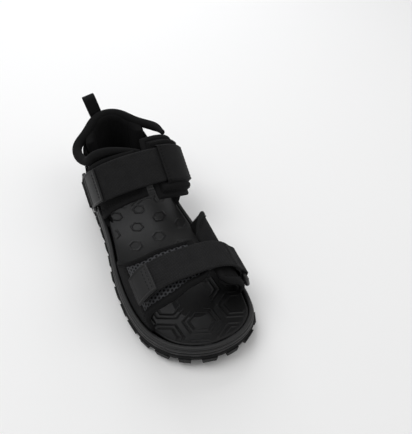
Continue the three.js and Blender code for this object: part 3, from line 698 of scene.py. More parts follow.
def ring_stack(rings, name, material, replaced):
    """A body of rings one above the other, closed by a fan over its first and its last ring."""
    levels, around = rings.shape[:2]
    verts = rings.reshape(-1, 3)
    index = np.arange(levels * around).reshape(levels, around)
    faces = quads(np.hstack([index, index[:, :1]]))
    ends = np.array([rings[0].mean(0), rings[-1].mean(0)])
    first, last = len(verts), len(verts) + 1
    verts = np.vstack([verts, ends])
    a = np.arange(around)
    b = (a + 1) % around
    low = np.stack([np.full(around, first), index[0][b], index[0][a]], 1)
    high = np.stack([np.full(around, last), index[-1][a], index[-1][b]], 1)
    tris = np.vstack([low, high])
    if volume(verts, np.vstack([faces, np.hstack([tris, tris[:, :1]])])) < 0:
        faces, tris = faces[:, ::-1], tris[:, ::-1]
    mesh_piece(name, verts, [faces, tris], None, material, "sandal", replaced)


def make_midsole():
    """Foam wall with two bands: a wide lower band with a cut line, a swelling upper band and a rolled rim.
    Each step is a distance inside the outline and a share of the wall's height."""
    lower_band = [(1.6, 0.00), (0.6, 0.015), (0.1, 0.05), (0.0, 0.10), (0.0, 0.28), (0.15, 0.315),
                  (0.7, 0.34), (1.5, 0.355)]
    upper_band = [(1.6, 0.38), (0.8, 0.40), (0.25, 0.42), (0.0, 0.46), (0.0, 0.60), (0.12, 0.66),
                  (0.5, 0.70), (1.3, 0.725)]
    rim = [(1.6, 0.75), (1.1, 0.775), (0.8, 0.80), (0.85, 0.87), (1.1, 0.93), (1.7, 0.975), (2.6, 1.0),
           (3.6, 0.995), (4.2, 0.975), (4.5, 0.93), (4.6, 0.85), (4.6, 0.60), (4.6, FLOOR_SHARE)]
    wall = lower_band + upper_band + rim
    profile = [(4.6, 0.7), (4.6, 0.3)] + [(inset, 0.0) for inset, _ in wall] + [(6.0, 0.25), (6.0, 0.7)]
    shares = [0.0, 0.0] + [s for _, s in wall] + [FLOOR_SHARE, FLOOR_SHARE]

    def height(y, ring):
        return mix(midsole_bottom(y), rim_top(y), shares[ring])
    ring_stack(sole_rings(profile, height), "midsole_body", LOOK["midsole"], ["midsole"])


def footbed_edge(y):
    return 4.9 + 1.7 * smooth(-132, -108, y) + 4.4 * smooth(78, 104, y)


def hexagon_lattice(x, y, pitch, turn, origin):
    """Distance from the centre of the nearest six-sided cell along the nearest flat's normal: it is
    pitch / 2 on the border between two cells."""
    c, s = math.cos(turn), math.sin(turn)
    a, b = c * (x - origin[0]) + s * (y - origin[1]), -s * (x - origin[0]) + c * (y - origin[1])
    best = None
    for shift in (0.0, 0.5):
        ca = (np.round(a / pitch - shift) + shift) * pitch
        cb = (np.round(b / (pitch * math.sqrt(3)) - shift) + shift) * pitch * math.sqrt(3)
        da, db = a - ca, b - cb
        r = np.hypot(da, db)
        if best is None:
            best = [r, da, db]
        else:
            near = r < best[0]
            best = [np.where(near, n, o) for n, o in zip((r, da, db), best)]
    da, db = best[1:]
    high = math.sqrt(3) / 2 * db
    return np.maximum(np.abs(da), np.maximum(np.abs(0.5 * da + high), np.abs(0.5 * da - high)))


def line(value, at, width):
    return smooth(width, width * 0.35, np.abs(value - at))


HEX_TURN = math.radians(4.5)
HEX_ORIGIN = (0.2, -113.0)
HEX_PITCH = 34.0


def emboss(x, y, inside):
    """Height of the moulded pattern: nested six-sided lines at the forefoot and heel, and small separate
    six-sided outlines under the arch. It dies away at the edge of the footbed."""
    ring = hexagon_lattice(x, y, HEX_PITCH, HEX_TURN, HEX_ORIGIN)
    big = line(ring, 9.4, 0.95) + line(ring, 13.6, 0.85)
    small = line(hexagon_lattice(x, y, 25.0, math.radians(7), (2.8, -9.0)), 5.2, 0.85)
    arch_zone = smooth(-52, -46, y) * smooth(46, 38, y)
    return (big * (1 - arch_zone) + 0.7 * small * arch_zone) * smooth(2.0, 5.0, inside)


def sorted_pair(x, y):
    """Both arrays in rising order of x, as interpolation needs them."""
    order = np.argsort(x)
    return x[order], y[order]


EDGE_POINTS = 1400  # points round the footbed's edge


def make_footbed():
    """The cupped foot plate as a fine grid over its plan: rows from toe to heel, columns across."""
    rows, cols = 470, 156
    low_y, high_y = -SOLE / 2 + 5.0, SOLE / 2 - 11.1
    y = low_y + (high_y - low_y) * eased_share(rows, 0.35)
    shares = np.linspace(0, 1, EDGE_POINTS, endpoint=False)
    ex, ey = plan_point(shares, footbed_edge(plan_point(shares, 0)[1]))
    outer = ex < np.interp(ey, [-142, 142], [4, 0])
    left, right = (np.interp(y, *sorted_pair(ey[part], ex[part])) for part in (outer, ~outer))
    x = left[:, None] + (right - left)[:, None] * eased_share(cols, 0.3)[None]
    yy = np.broadcast_to(y[:, None], x.shape)
    inside = np.full(x.shape, 1e9)
    for start in range(0, EDGE_POINTS, 200):
        piece = np.hypot(x[..., None] - ex[start:start + 200], yy[..., None] - ey[start:start + 200])
        inside = np.minimum(inside, piece.min(-1))
    inside[0] = inside[-1] = 0
    share = 1 - np.clip(inside / 36, 0, 1)
    dip = eased([[-142, 1], [-100, 3], [-20, 2.5], [70, 7], [142, 7]], yy)
    arch_rise = 5 * np.exp(-(((yy - 15) / 42) ** 2)) * smooth(2, 34, x) * smooth(1.35, 0.5, share)
    top = rim_top(yy) + 0.9 - dip * (1 - share * share) + arch_rise
    top = top - 1.3 * (1 - bulge(inside, 1.8)) + 0.65 * emboss(x, yy, inside)
    top_grid = np.stack([x, yy, top], -1)
    floor = mix(midsole_bottom(yy), rim_top(yy), FLOOR_SHARE) + GLUE + 0.4
    bottom_grid = np.stack([x, yy, np.minimum(floor, top - 1)], -1)
    return top_grid, bottom_grid


def solid_grid(top, bottom, name, material, slot, replaced):
    """A slab with the Z axis up: a fine top grid, a wall round its border and a fan underneath."""
    rows, cols = top.shape[:2]
    index = np.arange(rows * cols).reshape(rows, cols)
    border = np.concatenate([index[:-1, 0], index[-1, :-1], index[:0:-1, -1], index[0, :0:-1]])
    low_ring = bottom.reshape(-1, 3)[border]
    low_index = rows * cols + np.arange(len(border))
    centre = rows * cols + len(border)
    verts = np.vstack([top.reshape(-1, 3), low_ring, low_ring.mean(0)[None]])
    wall = np.stack([low_index, np.roll(low_index, -1), np.roll(border, -1), border], 1)
    fan = np.stack([np.roll(low_index, -1), low_index, np.full(len(border), centre)], 1)
    parts = [quads(index), wall, fan]
    if np.cross(top[1, 0] - top[0, 0], top[0, 1] - top[0, 0])[2] <= 0:
        parts = [part[:, ::-1] for part in parts]
    mesh_piece(name, verts, parts, None, material, "sandal", replaced)


make_midsole()
solid_grid(*make_footbed(), "footbed_body", LOOK["footbed"], "footbed_foam", ["footbed"])


def dress(node, look):
    """Gives a CAD node that keeps its shape a finished material."""
    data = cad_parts[node].data
    data.materials.clear()
    data.materials.append(LOOK[look])


dress("outsole", "outsole")
dress("shank_plate", "shank")

# ---------- upper: panels ----------


def panel_grid(shape, corner=0.0):
    """Shares u and v over a panel, crowded towards its edges, with its corners drawn in by corner."""
    u, v = np.meshgrid(crowded(shape[0]), crowded(shape[1]), indexing="ij")
    a, b = 2 * u - 1, 2 * v - 1
    return u, v, (a * np.sqrt(1 - corner * b * b) + 1) / 2, (b * np.sqrt(1 - corner * a * a) + 1) / 2


def level(height):
    """A panel face that keeps one height above the foot."""
    return lambda e, u, v: height + 0 * e


def lining_face(e, u, v):
    """The foot side of a lining, which swells a little away from its edge."""
    return -2.6 - 0.4 * smooth(2, 14, e)


def panel_piece(place, size, outer, inner, shape, name, look, replaced=(), body="sandal", edge=1.8,
                corner=0.0):
    """A panel on a foot surface. place(u, v, d) is the surface, size its width and length, outer(e, u, v)
    and inner(e, u, v) the heights of its two faces above the foot at e millimetres from the edge."""
    u, v, ur, vr = panel_grid(shape, corner)
    e = edge_distance(u, v, *size)
    high, low = outer(e, u, v), inner(e, u, v)
    middle = (high + low) / 2
    rise = bulge(e, edge)
    top = place(ur, vr, middle + (high - middle) * rise)
    bottom = place(ur, vr, middle + (low - middle) * rise)
    piece = skin(top, bottom, name, LOOK[look], replaced, body)
    return piece


def trace(place, u, v, d):
    """Points of a surface along a line of (u, v), with the outward direction at each."""
    u, v = same_shape(u, v)
    d = np.broadcast_to(np.asarray(d, float), u.shape)
    here = place(u, v, d)
    return here, unit(place(u, v, d + 0.5) - here)


LATERAL_FRONT = [[0, -106], [0.17, -105], [0.32, -108], [0.44, -107], [0.5, -103], [0.56, -98]]
LATERAL_REAR = [[0, -22], [0.1, -42], [0.3, -60], [0.45, -62], [0.56, -64]]
MEDIAL_FRONT = [[0.59, -104], [0.64, -110], [0.72, -111], [0.88, -108], [1, -104]]
MEDIAL_REAR = [[0.59, -62], [0.64, -49], [0.72, -37], [0.85, -24], [1, -11]]


def vamp_place(start, end, front, rear, v0=0.0, v1=1.0):
    def place(u, v, d):
        t = mix(start, end, u)
        return forefoot(t, mix(eased(front, t), eased(rear, t), mix(v0, v1, v)), d)
    return place


lateral_vamp = vamp_place(0.0, 0.56, LATERAL_FRONT, LATERAL_REAR)
medial_vamp = vamp_place(1.0, 0.59, MEDIAL_FRONT, MEDIAL_REAR)


def lateral_outer(e, u, v):
    edge_roll = smooth(6.4, 5.2, np.minimum(e, 99)) * smooth(0.0, 0.06, u)
    side_band = smooth(0.27, 0.235, u)
    groove = 0.55 * channel(e, 4.3, 0.6) * smooth(0.02, 0.08, u)
    return 3.0 + 1.75 * np.maximum(edge_roll, 0.75 * side_band) - groove


def medial_outer(e, u, v):
    return 3.2 + 1.3 * smooth(6.5, 5.0, e) * smooth(0, 0.06, u) - 0.5 * channel(e, 4.6, 0.6)


def vamp_pieces():
    panel_piece(lateral_vamp, (92, 56), lateral_outer, level(0), (110, 84), "vamp_lateral_body",
                "upper", ["vamp_lateral"], edge=2.3, corner=0.02)
    panel_piece(vamp_place(0.03, 0.545, LATERAL_FRONT, LATERAL_REAR, 0.03, 0.97), (84, 52), level(-1.1),
                lining_face, (60, 40), "vamp_lateral_lining_body", "lining",
                ["vamp_lateral_lining"], edge=0.9)
    mesh = panel_piece(vamp_place(0.145, 0.525, LATERAL_FRONT, LATERAL_REAR, 0.105, 0.895), (60, 38),
                       lambda e, u, v: 3.95 + 0.35 * smooth(0, 10, e), level(3.35), (60, 44),
                       "vamp_mesh_sheet", "mesh", ["vamp_mesh"], edge=0.4)
    panel_piece(medial_vamp, (52, 66), medial_outer, level(0), (74, 84), "vamp_medial_body",
                "upper", ["vamp_medial"], edge=2.4, corner=0.09)
    panel_piece(vamp_place(0.97, 0.61, MEDIAL_FRONT, MEDIAL_REAR, 0.03, 0.97), (52, 62), level(-1.1),
                lining_face, (44, 44), "vamp_medial_lining_body", "lining",
                ["vamp_medial_lining"], edge=0.9)
    rows = []
    span = np.linspace(0.03, 0.94, 60)
    rows.append(stitch_row(*trace(lateral_vamp, span, 0.075, 4.62)))
    rows.append(stitch_row(*trace(lateral_vamp, span, 0.925, 4.62)))
    across = np.linspace(0.06, 0.94, 60)
    for u in (0.205, 0.235):
        rows.append(stitch_row(*trace(lateral_vamp, u, across, 4.28)))
    span = np.linspace(0.04, 0.95, 50)
    rows.append(stitch_row(*trace(medial_vamp, span, 0.085, 4.3)))
    rows.append(stitch_row(*trace(medial_vamp, span, 0.915, 4.3)))
    sew(rows, "vamp_stitches", LOOK["thread"])


vamp_pieces()

# ---------- straps, rings and the webbing that holds them ----------


def ribbon(path, axis, width, thick, name, look, replaced=(), body="sandal", cols=18, corner=0.0):
    """Flat webbing: a middle line carried straight across its width, with rounded edges and woven
    edge ribs."""
    path = np.asarray(path, float)
    length = travelled(path)
    tangent = unit(np.gradient(path, axis=0))
    normal = unit(np.cross(tangent, axis))
    v = crowded(cols)
    along = length[:, None] + 0 * v[None]
    e = np.minimum(np.minimum(along, length[-1] - along), (np.minimum(v, 1 - v) * width)[None])
    end = np.minimum(along, length[-1] - along)
    pull = corner * (1 - bulge(end, corner)) if corner else 0 * end
    offset = (v[None] - 0.5) * (width - 2 * pull)
    swell = 1 + 0.12 * (channel((np.minimum(v, 1 - v) * width)[None] + 0 * along, 0.9, 0.5))
    half = thick / 2 * bulge(e, thick * 0.55) * swell
    base = path[:, None] + offset[..., None] * axis
    return skin(base + normal[:, None] * half[..., None], base - normal[:, None] * half[..., None], name,
                LOOK[look], replaced, body)


def crowded_ends(path, n, tip=1.2):
    """Even points along a path with a few extra ones close to both ends, for a rounded hem."""
    even = spread(path, n)
    length = np.linalg.norm(np.diff(path, axis=0), axis=1).sum()
    near = np.array([0.08, 0.3, 0.7]) * tip / (length / (n - 1))
    head = [even[0] + (even[1] - even[0]) * k for k in near]
    tail = [even[-1] + (even[-2] - even[-1]) * k for k in near[::-1]]
    return np.vstack([even[:1], head, even[1:-1], tail, even[-1:]])


def fore_strap_line(t, d):
    return forefoot(t, STRAP_Y, d)


def wrap(centre, out, way, radius, start, end, n):
    """Arc round a bar: angle 0 is outward and 90 degrees is along the strap."""
    a = np.radians(np.linspace(start, end, n))[:, None]
    return centre + radius * (np.cos(a) * out + np.sin(a) * way)


def strap_path(line, start, bar_t, tail_t, tail_d):
    """The strap runs over the foot, rises over the ring bar, turns round it and comes back underneath."""
    t = np.linspace(start, bar_t, 90)
    over = line(t, 8.4 + 2.6 * smooth(bar_t - 0.075, bar_t, t))
    bar = line(np.array([bar_t]), 7.8)[0]
    out = unit(line(np.array([bar_t]), 8.8)[0] - bar)
    ahead = line(np.array([bar_t + 0.004]), 7.8)[0] - line(np.array([bar_t - 0.004]), 7.8)[0]
    way = unit(ahead - out * (ahead @ out))
    turn = wrap(bar, out, way, 3.2, 8, 172, 16)
    t = np.linspace(bar_t, tail_t, 24)
    back = line(t, 4.6 + (tail_d - 4.6) * smooth(bar_t, bar_t - 0.06, t))
    return np.vstack([over, turn, back]), bar


fore_path, FORE_UPPER = strap_path(fore_strap_line, 0.22, 0.87, 0.74, 6.6)
FORE_LOWER = FORE_UPPER + np.array([2.2, 0, -10.5])
FORE_WIDTH, ANKLE_WIDTH = 27.0, 33.0


def ankle_line(t, d):
    return ankle(t, 0.0, d)


ankle_path, MEDIAL_UPPER = strap_path(ankle_line, 0.075, 0.955, 0.915, 6.9)
MEDIAL_LOWER = MEDIAL_UPPER - 10.5 * ANKLE_UP
LATERAL_SHIFT = 2.0
LATERAL_UPPER = ankle(0.0, LATERAL_SHIFT, 7.8)
LATERAL_LOWER = LATERAL_UPPER - 10.5 * ANKLE_UP


def ring_piece(upper, lower, axis, width, name, replaced, body):
    """Moulded rectangular ring: a round bar along a rectangle with rounded corners, a little thicker at its
    ends.
    """
    half_w = width / 2 + 1.2 + 1.9
    half_h = np.linalg.norm(upper - lower) / 2
    down = unit(lower - upper)
    out = unit(np.cross(axis, down))
    r = 3.2
    a = np.radians(np.linspace(0, 90, 10))
    quarter_turn = np.stack([np.cos(a), np.sin(a)], 1) * r
    x, y = half_w - r, half_h - r
    centres = [(x, y), (-x, y), (-x, -y), (x, -y)]
    corners = []
    for k, centre in enumerate(centres):
        c, s = math.cos(k * math.pi / 2), math.sin(k * math.pi / 2)
        turned = quarter_turn @ np.array([[c, s], [-s, c]])
        corners.append(turned + centre)
    flat = np.vstack(corners + [corners[0][:1]])
    flat = spread(flat, 161)[:-1]
    path = (upper + lower) / 2 + flat[:, :1] * axis - flat[:, 1:] * down
    swell = 1.9 + 0.25 * smooth(half_w - 2.5, half_w, np.abs(flat[:, 0]))
    return tube(path, swell, name, LOOK["ring"], replaced, body, closed=True, up=out,
                sides=18)


def fold_path(low, bar, out, up_way, tail):
    """Webbing from the sole up the foot side of a bar, over the bar and down again outside it."""
    inner = bar - out * 3.1
    turn = wrap(bar, out, up_way, 3.2, 178, 2, 18)
    outer_end = bar + out * 1.2 - up_way * tail
    middle = (low + inner) / 2 - out * 0.2
    rise = rounded([low, middle, inner - up_way * 0.5], 30)
    drop = rounded([turn[-1], bar + out * 2.9 - up_way * 3.0, outer_end], 16)
    return np.vstack([rise, turn, drop[1:]])


def strap_pieces():
    ribbon(crowded_ends(fore_path, 150), FOREFOOT_AXIS, FORE_WIDTH, 1.6, "forefoot_strap_body_webbing",
           "strap", ["forefoot_strap"], "forefoot_strap_body", corner=3.0)
    ribbon(crowded_ends(ankle_path, 150), ANKLE_AXIS, ANKLE_WIDTH, 1.6, "ankle_strap_webbing",
           "strap", ["ankle_strap"], "ankle_strap_body", corner=3.0)
    ring_piece(FORE_UPPER, FORE_LOWER, FOREFOOT_AXIS, FORE_WIDTH, "forefoot_ring_moulding", ["forefoot_ring"],
               "forefoot_ring_body")
    ring_piece(MEDIAL_UPPER, MEDIAL_LOWER, ANKLE_AXIS, ANKLE_WIDTH, "medial_ring_moulding", ["medial_ring"],
               "medial_ring_body")
    ring_piece(LATERAL_UPPER, LATERAL_LOWER, ANKLE_AXIS, ANKLE_WIDTH - 3, "lateral_ring_moulding",
               ["lateral_ring"], "sandal")
    low = forefoot(1.0, STRAP_Y, 4.6)
    low[2] = rim_top(STRAP_Y) + 0.4
    path = fold_path(low, FORE_LOWER, np.array([0.98, 0, 0.2]), np.array([-0.2, 0, 0.98]), 7.0)
    ribbon(crowded_ends(path, 60), FOREFOOT_AXIS, FORE_WIDTH - 2, 1.3, "forefoot_ring_tape", "tape",
           ["forefoot_ring_anchor"])
    for side, lower, width, join, name in (
            (1, MEDIAL_LOWER, ANKLE_WIDTH - 2, 0.72, "medial_ring_anchor"),
            (-1, LATERAL_LOWER, ANKLE_WIDTH - 5, 0.3, "lateral_ring_anchor")):
        low = quarter(side, join * 0.2, (lower[1] - 18) / 64, 4.5, join, 0.5)
        low[2] = max(low[2], rim_top(low[1]) + 0.8)
        path = fold_path(low, lower, np.array([side, 0.0, 0.0]), ANKLE_UP, 5.0)
        ribbon(crowded_ends(path, 60), ANKLE_AXIS, width, 1.3, name + "_tape", "tape", [name])
    turn = wrap(LATERAL_UPPER, np.array([-1.0, 0, 0]), -ANKLE_UP, 3.1, 20, 175, 16)
    t = np.linspace(0.13, 0.01, 20)
    down = np.vstack([ankle(t, LATERAL_SHIFT, 6.0 + 4.9 * smooth(0.1, 0.0, t)), turn])
    ribbon(crowded_ends(down, 60), ANKLE_AXIS, ANKLE_WIDTH - 5, 1.3, "lateral_ring_upper_tape", "tape",
           ["lateral_ring_web"])


strap_pieces()


def tab_piece(place, start, end, width, name, body, rows, replaced):
    """Moulded pull tab: a rounded plate whose rim stands up round a flat field."""
    def outer(e, u, v):
        return 11.0 + 0.75 * bulge(np.clip(2.3 - e, 0, 2.3), 1.6) * smooth(0, 0.5, e)

    def at(u, v, d):
        return place(mix(start, end, u), (v - 0.5) * width, d)
    panel_piece(at, (22.0, width), outer, level(9.55), (54, 64), name, "tab", replaced, body,
                edge=0.8, corner=0.05)
    across = np.linspace(0.12, 0.88, 30)
    stitched = [stitch_row(*trace(at, u, across, 11.05), pitch=3.0, long=2.0, wide=0.55, high=0.3)
                for u in rows]
    sew(stitched, name + "_stitches", LOOK["thread"], body)


def fore_place(t, across, d):
    """The forefoot strap's surface: straight across the width along the strap's own axis."""
    t, across, d = same_shape(t, across, d)
    return forefoot(t, STRAP_Y, d) + across[..., None] * FOREFOOT_AXIS


tab_piece(fore_place, 0.195, 0.345, FORE_WIDTH - 1, "forefoot_pull_tab", "forefoot_strap_body", (0.7, 0.84),
          ["forefoot_tab"])
tab_piece(ankle, 0.05, 0.205, ANKLE_WIDTH - 1, "ankle_pull_tab", "ankle_strap_body", (0.8,), ["ankle_tab"])


def patch_pieces():
    """Hook tape under each strap's free end and loop tape on the panel below it."""
    for name, place, start, end, low, width, slot, body in (
            ("forefoot_hook_patch", fore_place, 0.24, 0.46, 6.2, FORE_WIDTH - 3, "hook_fabric",
             "forefoot_strap_body"),
            ("forefoot_loop_patch", fore_place, 0.23, 0.53, 4.8, FORE_WIDTH - 4, "loop_fabric", "sandal"),
            ("ankle_hook_patch", ankle, 0.10, 0.40, 6.2, ANKLE_WIDTH - 3, "hook_fabric", "ankle_strap_body"),
            ("ankle_loop_patch", ankle, 0.13, 0.48, 4.3, ANKLE_WIDTH - 4, "loop_fabric", "sandal")):
        def at(u, v, d, place=place, start=start, end=end, width=width):
            return place(mix(start, end, u), (v - 0.5) * width, d)
        panel_piece(at, (30, width), level(low + 1), level(low), (40, 24), name + "_tape", "hook",
                    [name], body, edge=0.5)


patch_pieces()


def strap_stitches():
    """Two rows across the forefoot strap, by the end of the layer that comes back underneath."""
    rows = []
    across = np.linspace(-11.5, 11.5, 40)
    for t in (0.735, 0.748):
        here = fore_place(t, across, 9.22)
        rows.append(stitch_row(here, unit(fore_place(t, across, 10) - here), pitch=2.0, long=1.5, wide=0.6))
    sew(rows, "forefoot_strap_stitches", LOOK["thread"], "forefoot_strap_body")


strap_stitches()

# ---------- ankle panels and instep pad ----------

LATERAL_JOIN, MEDIAL_JOIN = 0.3, 0.72


def quarter_place(side, s0, s1, v0, v1, join, reach):
    def place(u, v, d):
        return quarter(side, mix(s0, s1, u), mix(v0, v1, v), d, join, reach)
    return place


def quarter_pieces():
    lateral = quarter_place(-1, 0, 1, 0, 1, LATERAL_JOIN, 0.49)
    medial = quarter_place(1, 0, 1, 0, 1, MEDIAL_JOIN, 0.06)

    def outer(e, u, v):
        return 3.1 + 0.9 * smooth(5.6, 4.4, e) * smooth(0.0, 0.05, u) - 0.5 * channel(e, 4.4, 0.6)
    panel_piece(lateral, (100, 48), outer, level(0), (120, 60), "quarter_lateral_body", "upper",
                ["quarter_lateral"], edge=2.0, corner=0.02)
    panel_piece(medial, (50, 48), outer, level(0), (66, 60), "quarter_medial_body", "upper",
                ["quarter_medial"], edge=2.0, corner=0.02)
    for side, s, join, reach, size, name in (
            (-1, (0.05, 0.96), LATERAL_JOIN, 0.49, (94, 45), "quarter_lateral_lining"),
            (1, (0.06, 0.96), MEDIAL_JOIN, 0.06, (45, 45), "quarter_medial_lining")):
        panel_piece(quarter_place(side, *s, 0.04, 0.96, join, reach), size, level(-1.1), lining_face,
                    (60, 36), name + "_body", "lining", [name], edge=0.9)
    rows = []
    span = np.linspace(0.05, 0.97, 80)
    rows.append(stitch_row(*trace(lateral, span, 0.115, 3.35)))
    rows.append(stitch_row(*trace(lateral, span, 0.145, 3.35)))
    rows.append(stitch_row(*trace(medial, span, 0.115, 3.35)))
    sew(rows, "quarter_stitches", LOOK["thread"])


quarter_pieces()


PAD_LENGTH, PAD_WIDTH, PAD_CORNER = 62, 63, 0.11
SLEEVE_LENGTH, SLEEVE_WIDTH = 46, 40.0


def pad_place(u, v, d):
    return ankle(mix(0.515, 0.933, u), -1 + (v - 0.5) * PAD_WIDTH, d)


def instep_pieces():
    def outer(e, u, v):
        aside = np.abs((v - 0.5) * PAD_WIDTH - 1)
        crown = bulge(np.clip(e - 5.4, 0, 99), 9.0)
        free = smooth(17.5, 22.5, aside)
        return 4.6 - 0.9 * channel(e, 5.3, 0.8) + crown * (2.2 + 3.1 * free)
    panel_piece(pad_place, (PAD_LENGTH, PAD_WIDTH), outer, lambda e, u, v: 0.1 - 0.9 * bulge(e, 14), (84, 92),
                "instep_pad_body", "pad", ["instep_pad"], "ankle_strap_body", edge=2.4,
                corner=PAD_CORNER)

    def sleeve_outer(e, u, v):
        aside = np.abs(v - 0.5) * SLEEVE_WIDTH
        hem = 0.45 * smooth(3.4, 2.8, np.minimum(u, 1 - u) * SLEEVE_LENGTH)
        return 11.1 + hem - 5.2 * smooth(16.2, 20.4, aside) ** 1.2 - 0.35 * channel(aside, 18.2, 0.5)

    def sleeve_place(u, v, d):
        return ankle(mix(0.597, 0.903, u), (v - 0.5) * SLEEVE_WIDTH, d)
    panel_piece(sleeve_place, (SLEEVE_LENGTH, SLEEVE_WIDTH), sleeve_outer,
                lambda e, u, v: sleeve_outer(e, u, v) - 1.35, (60, 70), "pad_sleeve_body", "sleeve",
                ["pad_sleeve"], "ankle_strap_body", edge=0.7)
    rows = []
    for inset in (6.6, 8.4):
        k = np.linspace(0, 1, 60)
        a, b = inset / PAD_LENGTH, inset / PAD_WIDTH
        for line_u, line_v in ((mix(a, 1 - a, k), b + 0 * k), (mix(a, 1 - a, k), 1 - b + 0 * k),
                               (a + 0 * k, mix(b, 1 - b, k)), (1 - a + 0 * k, mix(b, 1 - b, k))):
            p, q = 2 * line_u - 1, 2 * line_v - 1
            uu = (p * np.sqrt(1 - PAD_CORNER * q * q) + 1) / 2
            vv = (q * np.sqrt(1 - PAD_CORNER * p * p) + 1) / 2
            e = edge_distance(line_u, line_v, PAD_LENGTH, PAD_WIDTH)
            rows.append(stitch_row(*trace(pad_place, uu, vv, outer(e, line_u, line_v) + 0.05)))
    sew(rows, "pad_stitches", LOOK["thread"], "ankle_strap_body")
    rows = []
    k = np.linspace(0.06, 0.94, 60)
    for u in (0.045, 0.075, 0.925, 0.955):
        rows.append(stitch_row(*trace(sleeve_place, u, k, sleeve_outer(9 + 0 * k, u, k) + 0.03)))
    sew(rows, "sleeve_stitches", LOOK["thread"], "ankle_strap_body")


instep_pieces()

# ---------- heel ----------


def heel_pieces():
    def counter_place(u, v, d):
        side = mix(-1, 1, u)
        return heel_wall(side, mix(heel_bottom(side), heel_top(side), v), d)

    def counter_outer(e, u, v):
        return 2.7 + 0.3 * smooth(6, 4.6, e) - 0.4 * channel(e, 4.8, 0.6)
    panel_piece(counter_place, (98, 50), counter_outer, level(0.3), (110, 50), "heel_counter_body", "upper",
                ["heel_counter"], edge=1.2, corner=0.02)

    def pad_at(u, v, d):
        side = mix(-0.98, 0.98, u)
        return heel_wall(side, mix(heel_bottom(side) + 8.5, heel_top(side) + 8.6, v), d)

    def pad_inner(e, u, v):
        seams = channel(u, 0.16, 0.008) + channel(u, 0.84, 0.008)
        return -3.4 - 5.2 * bulge(e, 9) - 0.8 * np.sin(np.pi * v) + 0.7 * seams
    panel_piece(pad_at, (92, 50), level(-0.1), pad_inner, (150, 60), "heel_pad_body", "lining",
                ["heel_pad"], edge=3.2, corner=0.05)

    def strap_outer(e, u, v):
        return 5.0 + 0.35 * smooth(4.5, 3.2, e) - 0.3 * channel(e, 3.6, 0.5)
    for side, join, name in ((-1, LATERAL_JOIN, "heel_strap_lateral"), (1, MEDIAL_JOIN, "heel_strap_medial")):
        def strap_at(u, v, d, side=side, join=join):
            reach = np.minimum(1, u / 0.6)
            back = heel_wall(side * mix(0.27, 1, reach), mix(50 - 5 * reach, 68 - 9 * reach, v), d)
            front = quarter(side, join * mix(0.5, 0.86, v), 1.0, d + 0.6, join, 0.5)
            bend = smooth(0.5, 1.0, u) * 0.9 + np.maximum(0, (u - 0.6) / 0.4) * 0.1
            return back + (front - back) * bend[..., None]
        panel_piece(strap_at, (66, 16), strap_outer, level(3.25), (90, 30), name + "_body", "upper",
                    [name], edge=0.9)


heel_pieces()


def collar_line():
    """Middle line of the padded collar: share along the ankle strap's path, distance across and height,
    then the side of the foot, the top of the heel wall and the inner side."""
    front = ((0.52, 17, -0.5), (0.46, 21.5, 0.2), (0.38, 25, 0.8), (0.3, 27.5, 1.0), (0.2, 28.8, 1.2),
             (0.12, 29.2, 1.2), (0.04, 29.4, 1.2))
    points = [ankle(*place) for place in front]
    points += [np.array([-43, 85, 68]), np.array([-41, 101, 70.5])]
    points += [heel_wall(s, heel_top(s) + 5.8, -1.2) for s in (-0.7, -0.35, 0.0, 0.35, 0.7)]
    points += [np.array([41.5, 101, 73]), np.array([44, 88, 76]), np.array([44.5, 76, 78])]
    path = rounded([np.asarray(p).reshape(3) for p in points], 241)
    kernel = np.hanning(31) / np.hanning(31).sum()
    padded = np.vstack([path[:1]] * 15 + [path] + [path[-1:]] * 15)
    soft = np.stack([np.convolve(padded[:, k], kernel, "valid") for k in range(3)], 1)
    return spread(soft, 200)


def make_collar():
    path = collar_line()
    s = np.linspace(0, 1, len(path))
    radius = 2.6 + 2.2 * smooth(0.0, 0.22, s) * smooth(1.0, 0.9, s)
    piece = tube(path, radius, "collar_roll_body", LOOK["lining"], ["collar_roll"], sides=28)


make_collar()


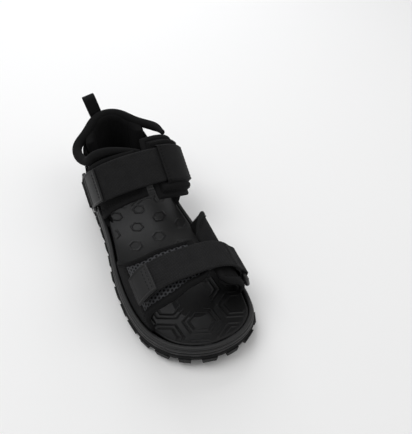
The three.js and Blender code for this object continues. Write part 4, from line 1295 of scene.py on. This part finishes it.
def make_pull_loop():
    """Folded tape: its two ends lie together at the sewn foot and part into an open loop above."""
    base = heel_wall(-0.13, 67, 5.4)
    rise = np.array([-0.19518, 0.09759, 0.9759])
    width_way = unit(np.cross(rise, [0, 1, 0]))
    depth_way = unit(np.cross(width_way, rise))
    side = [[0.85, 0], [0.85, 6], [1.6, 9.5], [3.6, 13.5], [4.25, 18.5], [4.25, 29.5]]
    top = [[4.25 * math.cos(a), 31.2 + 4.25 * math.sin(a)] for a in np.linspace(0.2, math.pi - 0.2, 9)]
    line_points = side + top + [[-x, z] for x, z in side[::-1]]
    path = rounded([base + x * depth_way + z * rise for x, z in line_points], 120)
    ribbon(crowded_ends(path, 120), width_way, 13.0, 1.5, "pull_loop_tape", "tape", ["pull_loop"],
           "pull_loop_body", cols=16)


make_pull_loop()

# ---------- floor and light ----------


def make_stage():
    bpy.context.scene.view_settings.view_transform = "Standard"
    bpy.ops.mesh.primitive_plane_add(size=4.0, location=(0, 0, -0.0003))
    floor = bpy.context.object
    floor.name = "floor"
    material = bpy.data.materials.new("floor_paper")
    material.use_nodes = True
    shader = material.node_tree.nodes["Principled BSDF"]
    shader.inputs["Base Color"].default_value = (0.9, 0.9, 0.9, 1)
    shader.inputs["Roughness"].default_value = 0.9
    floor.data.materials.append(material)
    world = bpy.data.worlds.new("studio")
    world.use_nodes = True
    world.node_tree.nodes["Background"].inputs["Color"].default_value = (1, 1, 1, 1)
    world.node_tree.nodes["Background"].inputs["Strength"].default_value = 0.42
    bpy.context.scene.world = world
    for name, at, size, power, color in (
            ("key", (-0.5, 0.2, 1.3), 0.9, 7.5, (1, 1, 1)),
            ("fill", (0.9, -0.7, 1.0), 1.2, 3.8, (1, 0.99, 0.97)),
            ("back", (0.3, 1.1, 0.9), 0.9, 7.0, (0.97, 0.98, 1))):
        data = bpy.data.lights.new(name, "AREA")
        data.size = size
        data.energy = power
        data.color = color
        light = bpy.data.objects.new(name, data)
        light.location = at
        way = np.array([0.02, 0.0, 0.03]) - np.array(at)
        tilt = math.atan2(math.hypot(way[0], way[1]), -way[2])
        light.rotation_euler = (tilt, 0, math.atan2(-way[0], way[1]))
        bpy.context.scene.collection.objects.link(light)


make_stage()

bpy.context.view_layer.update()
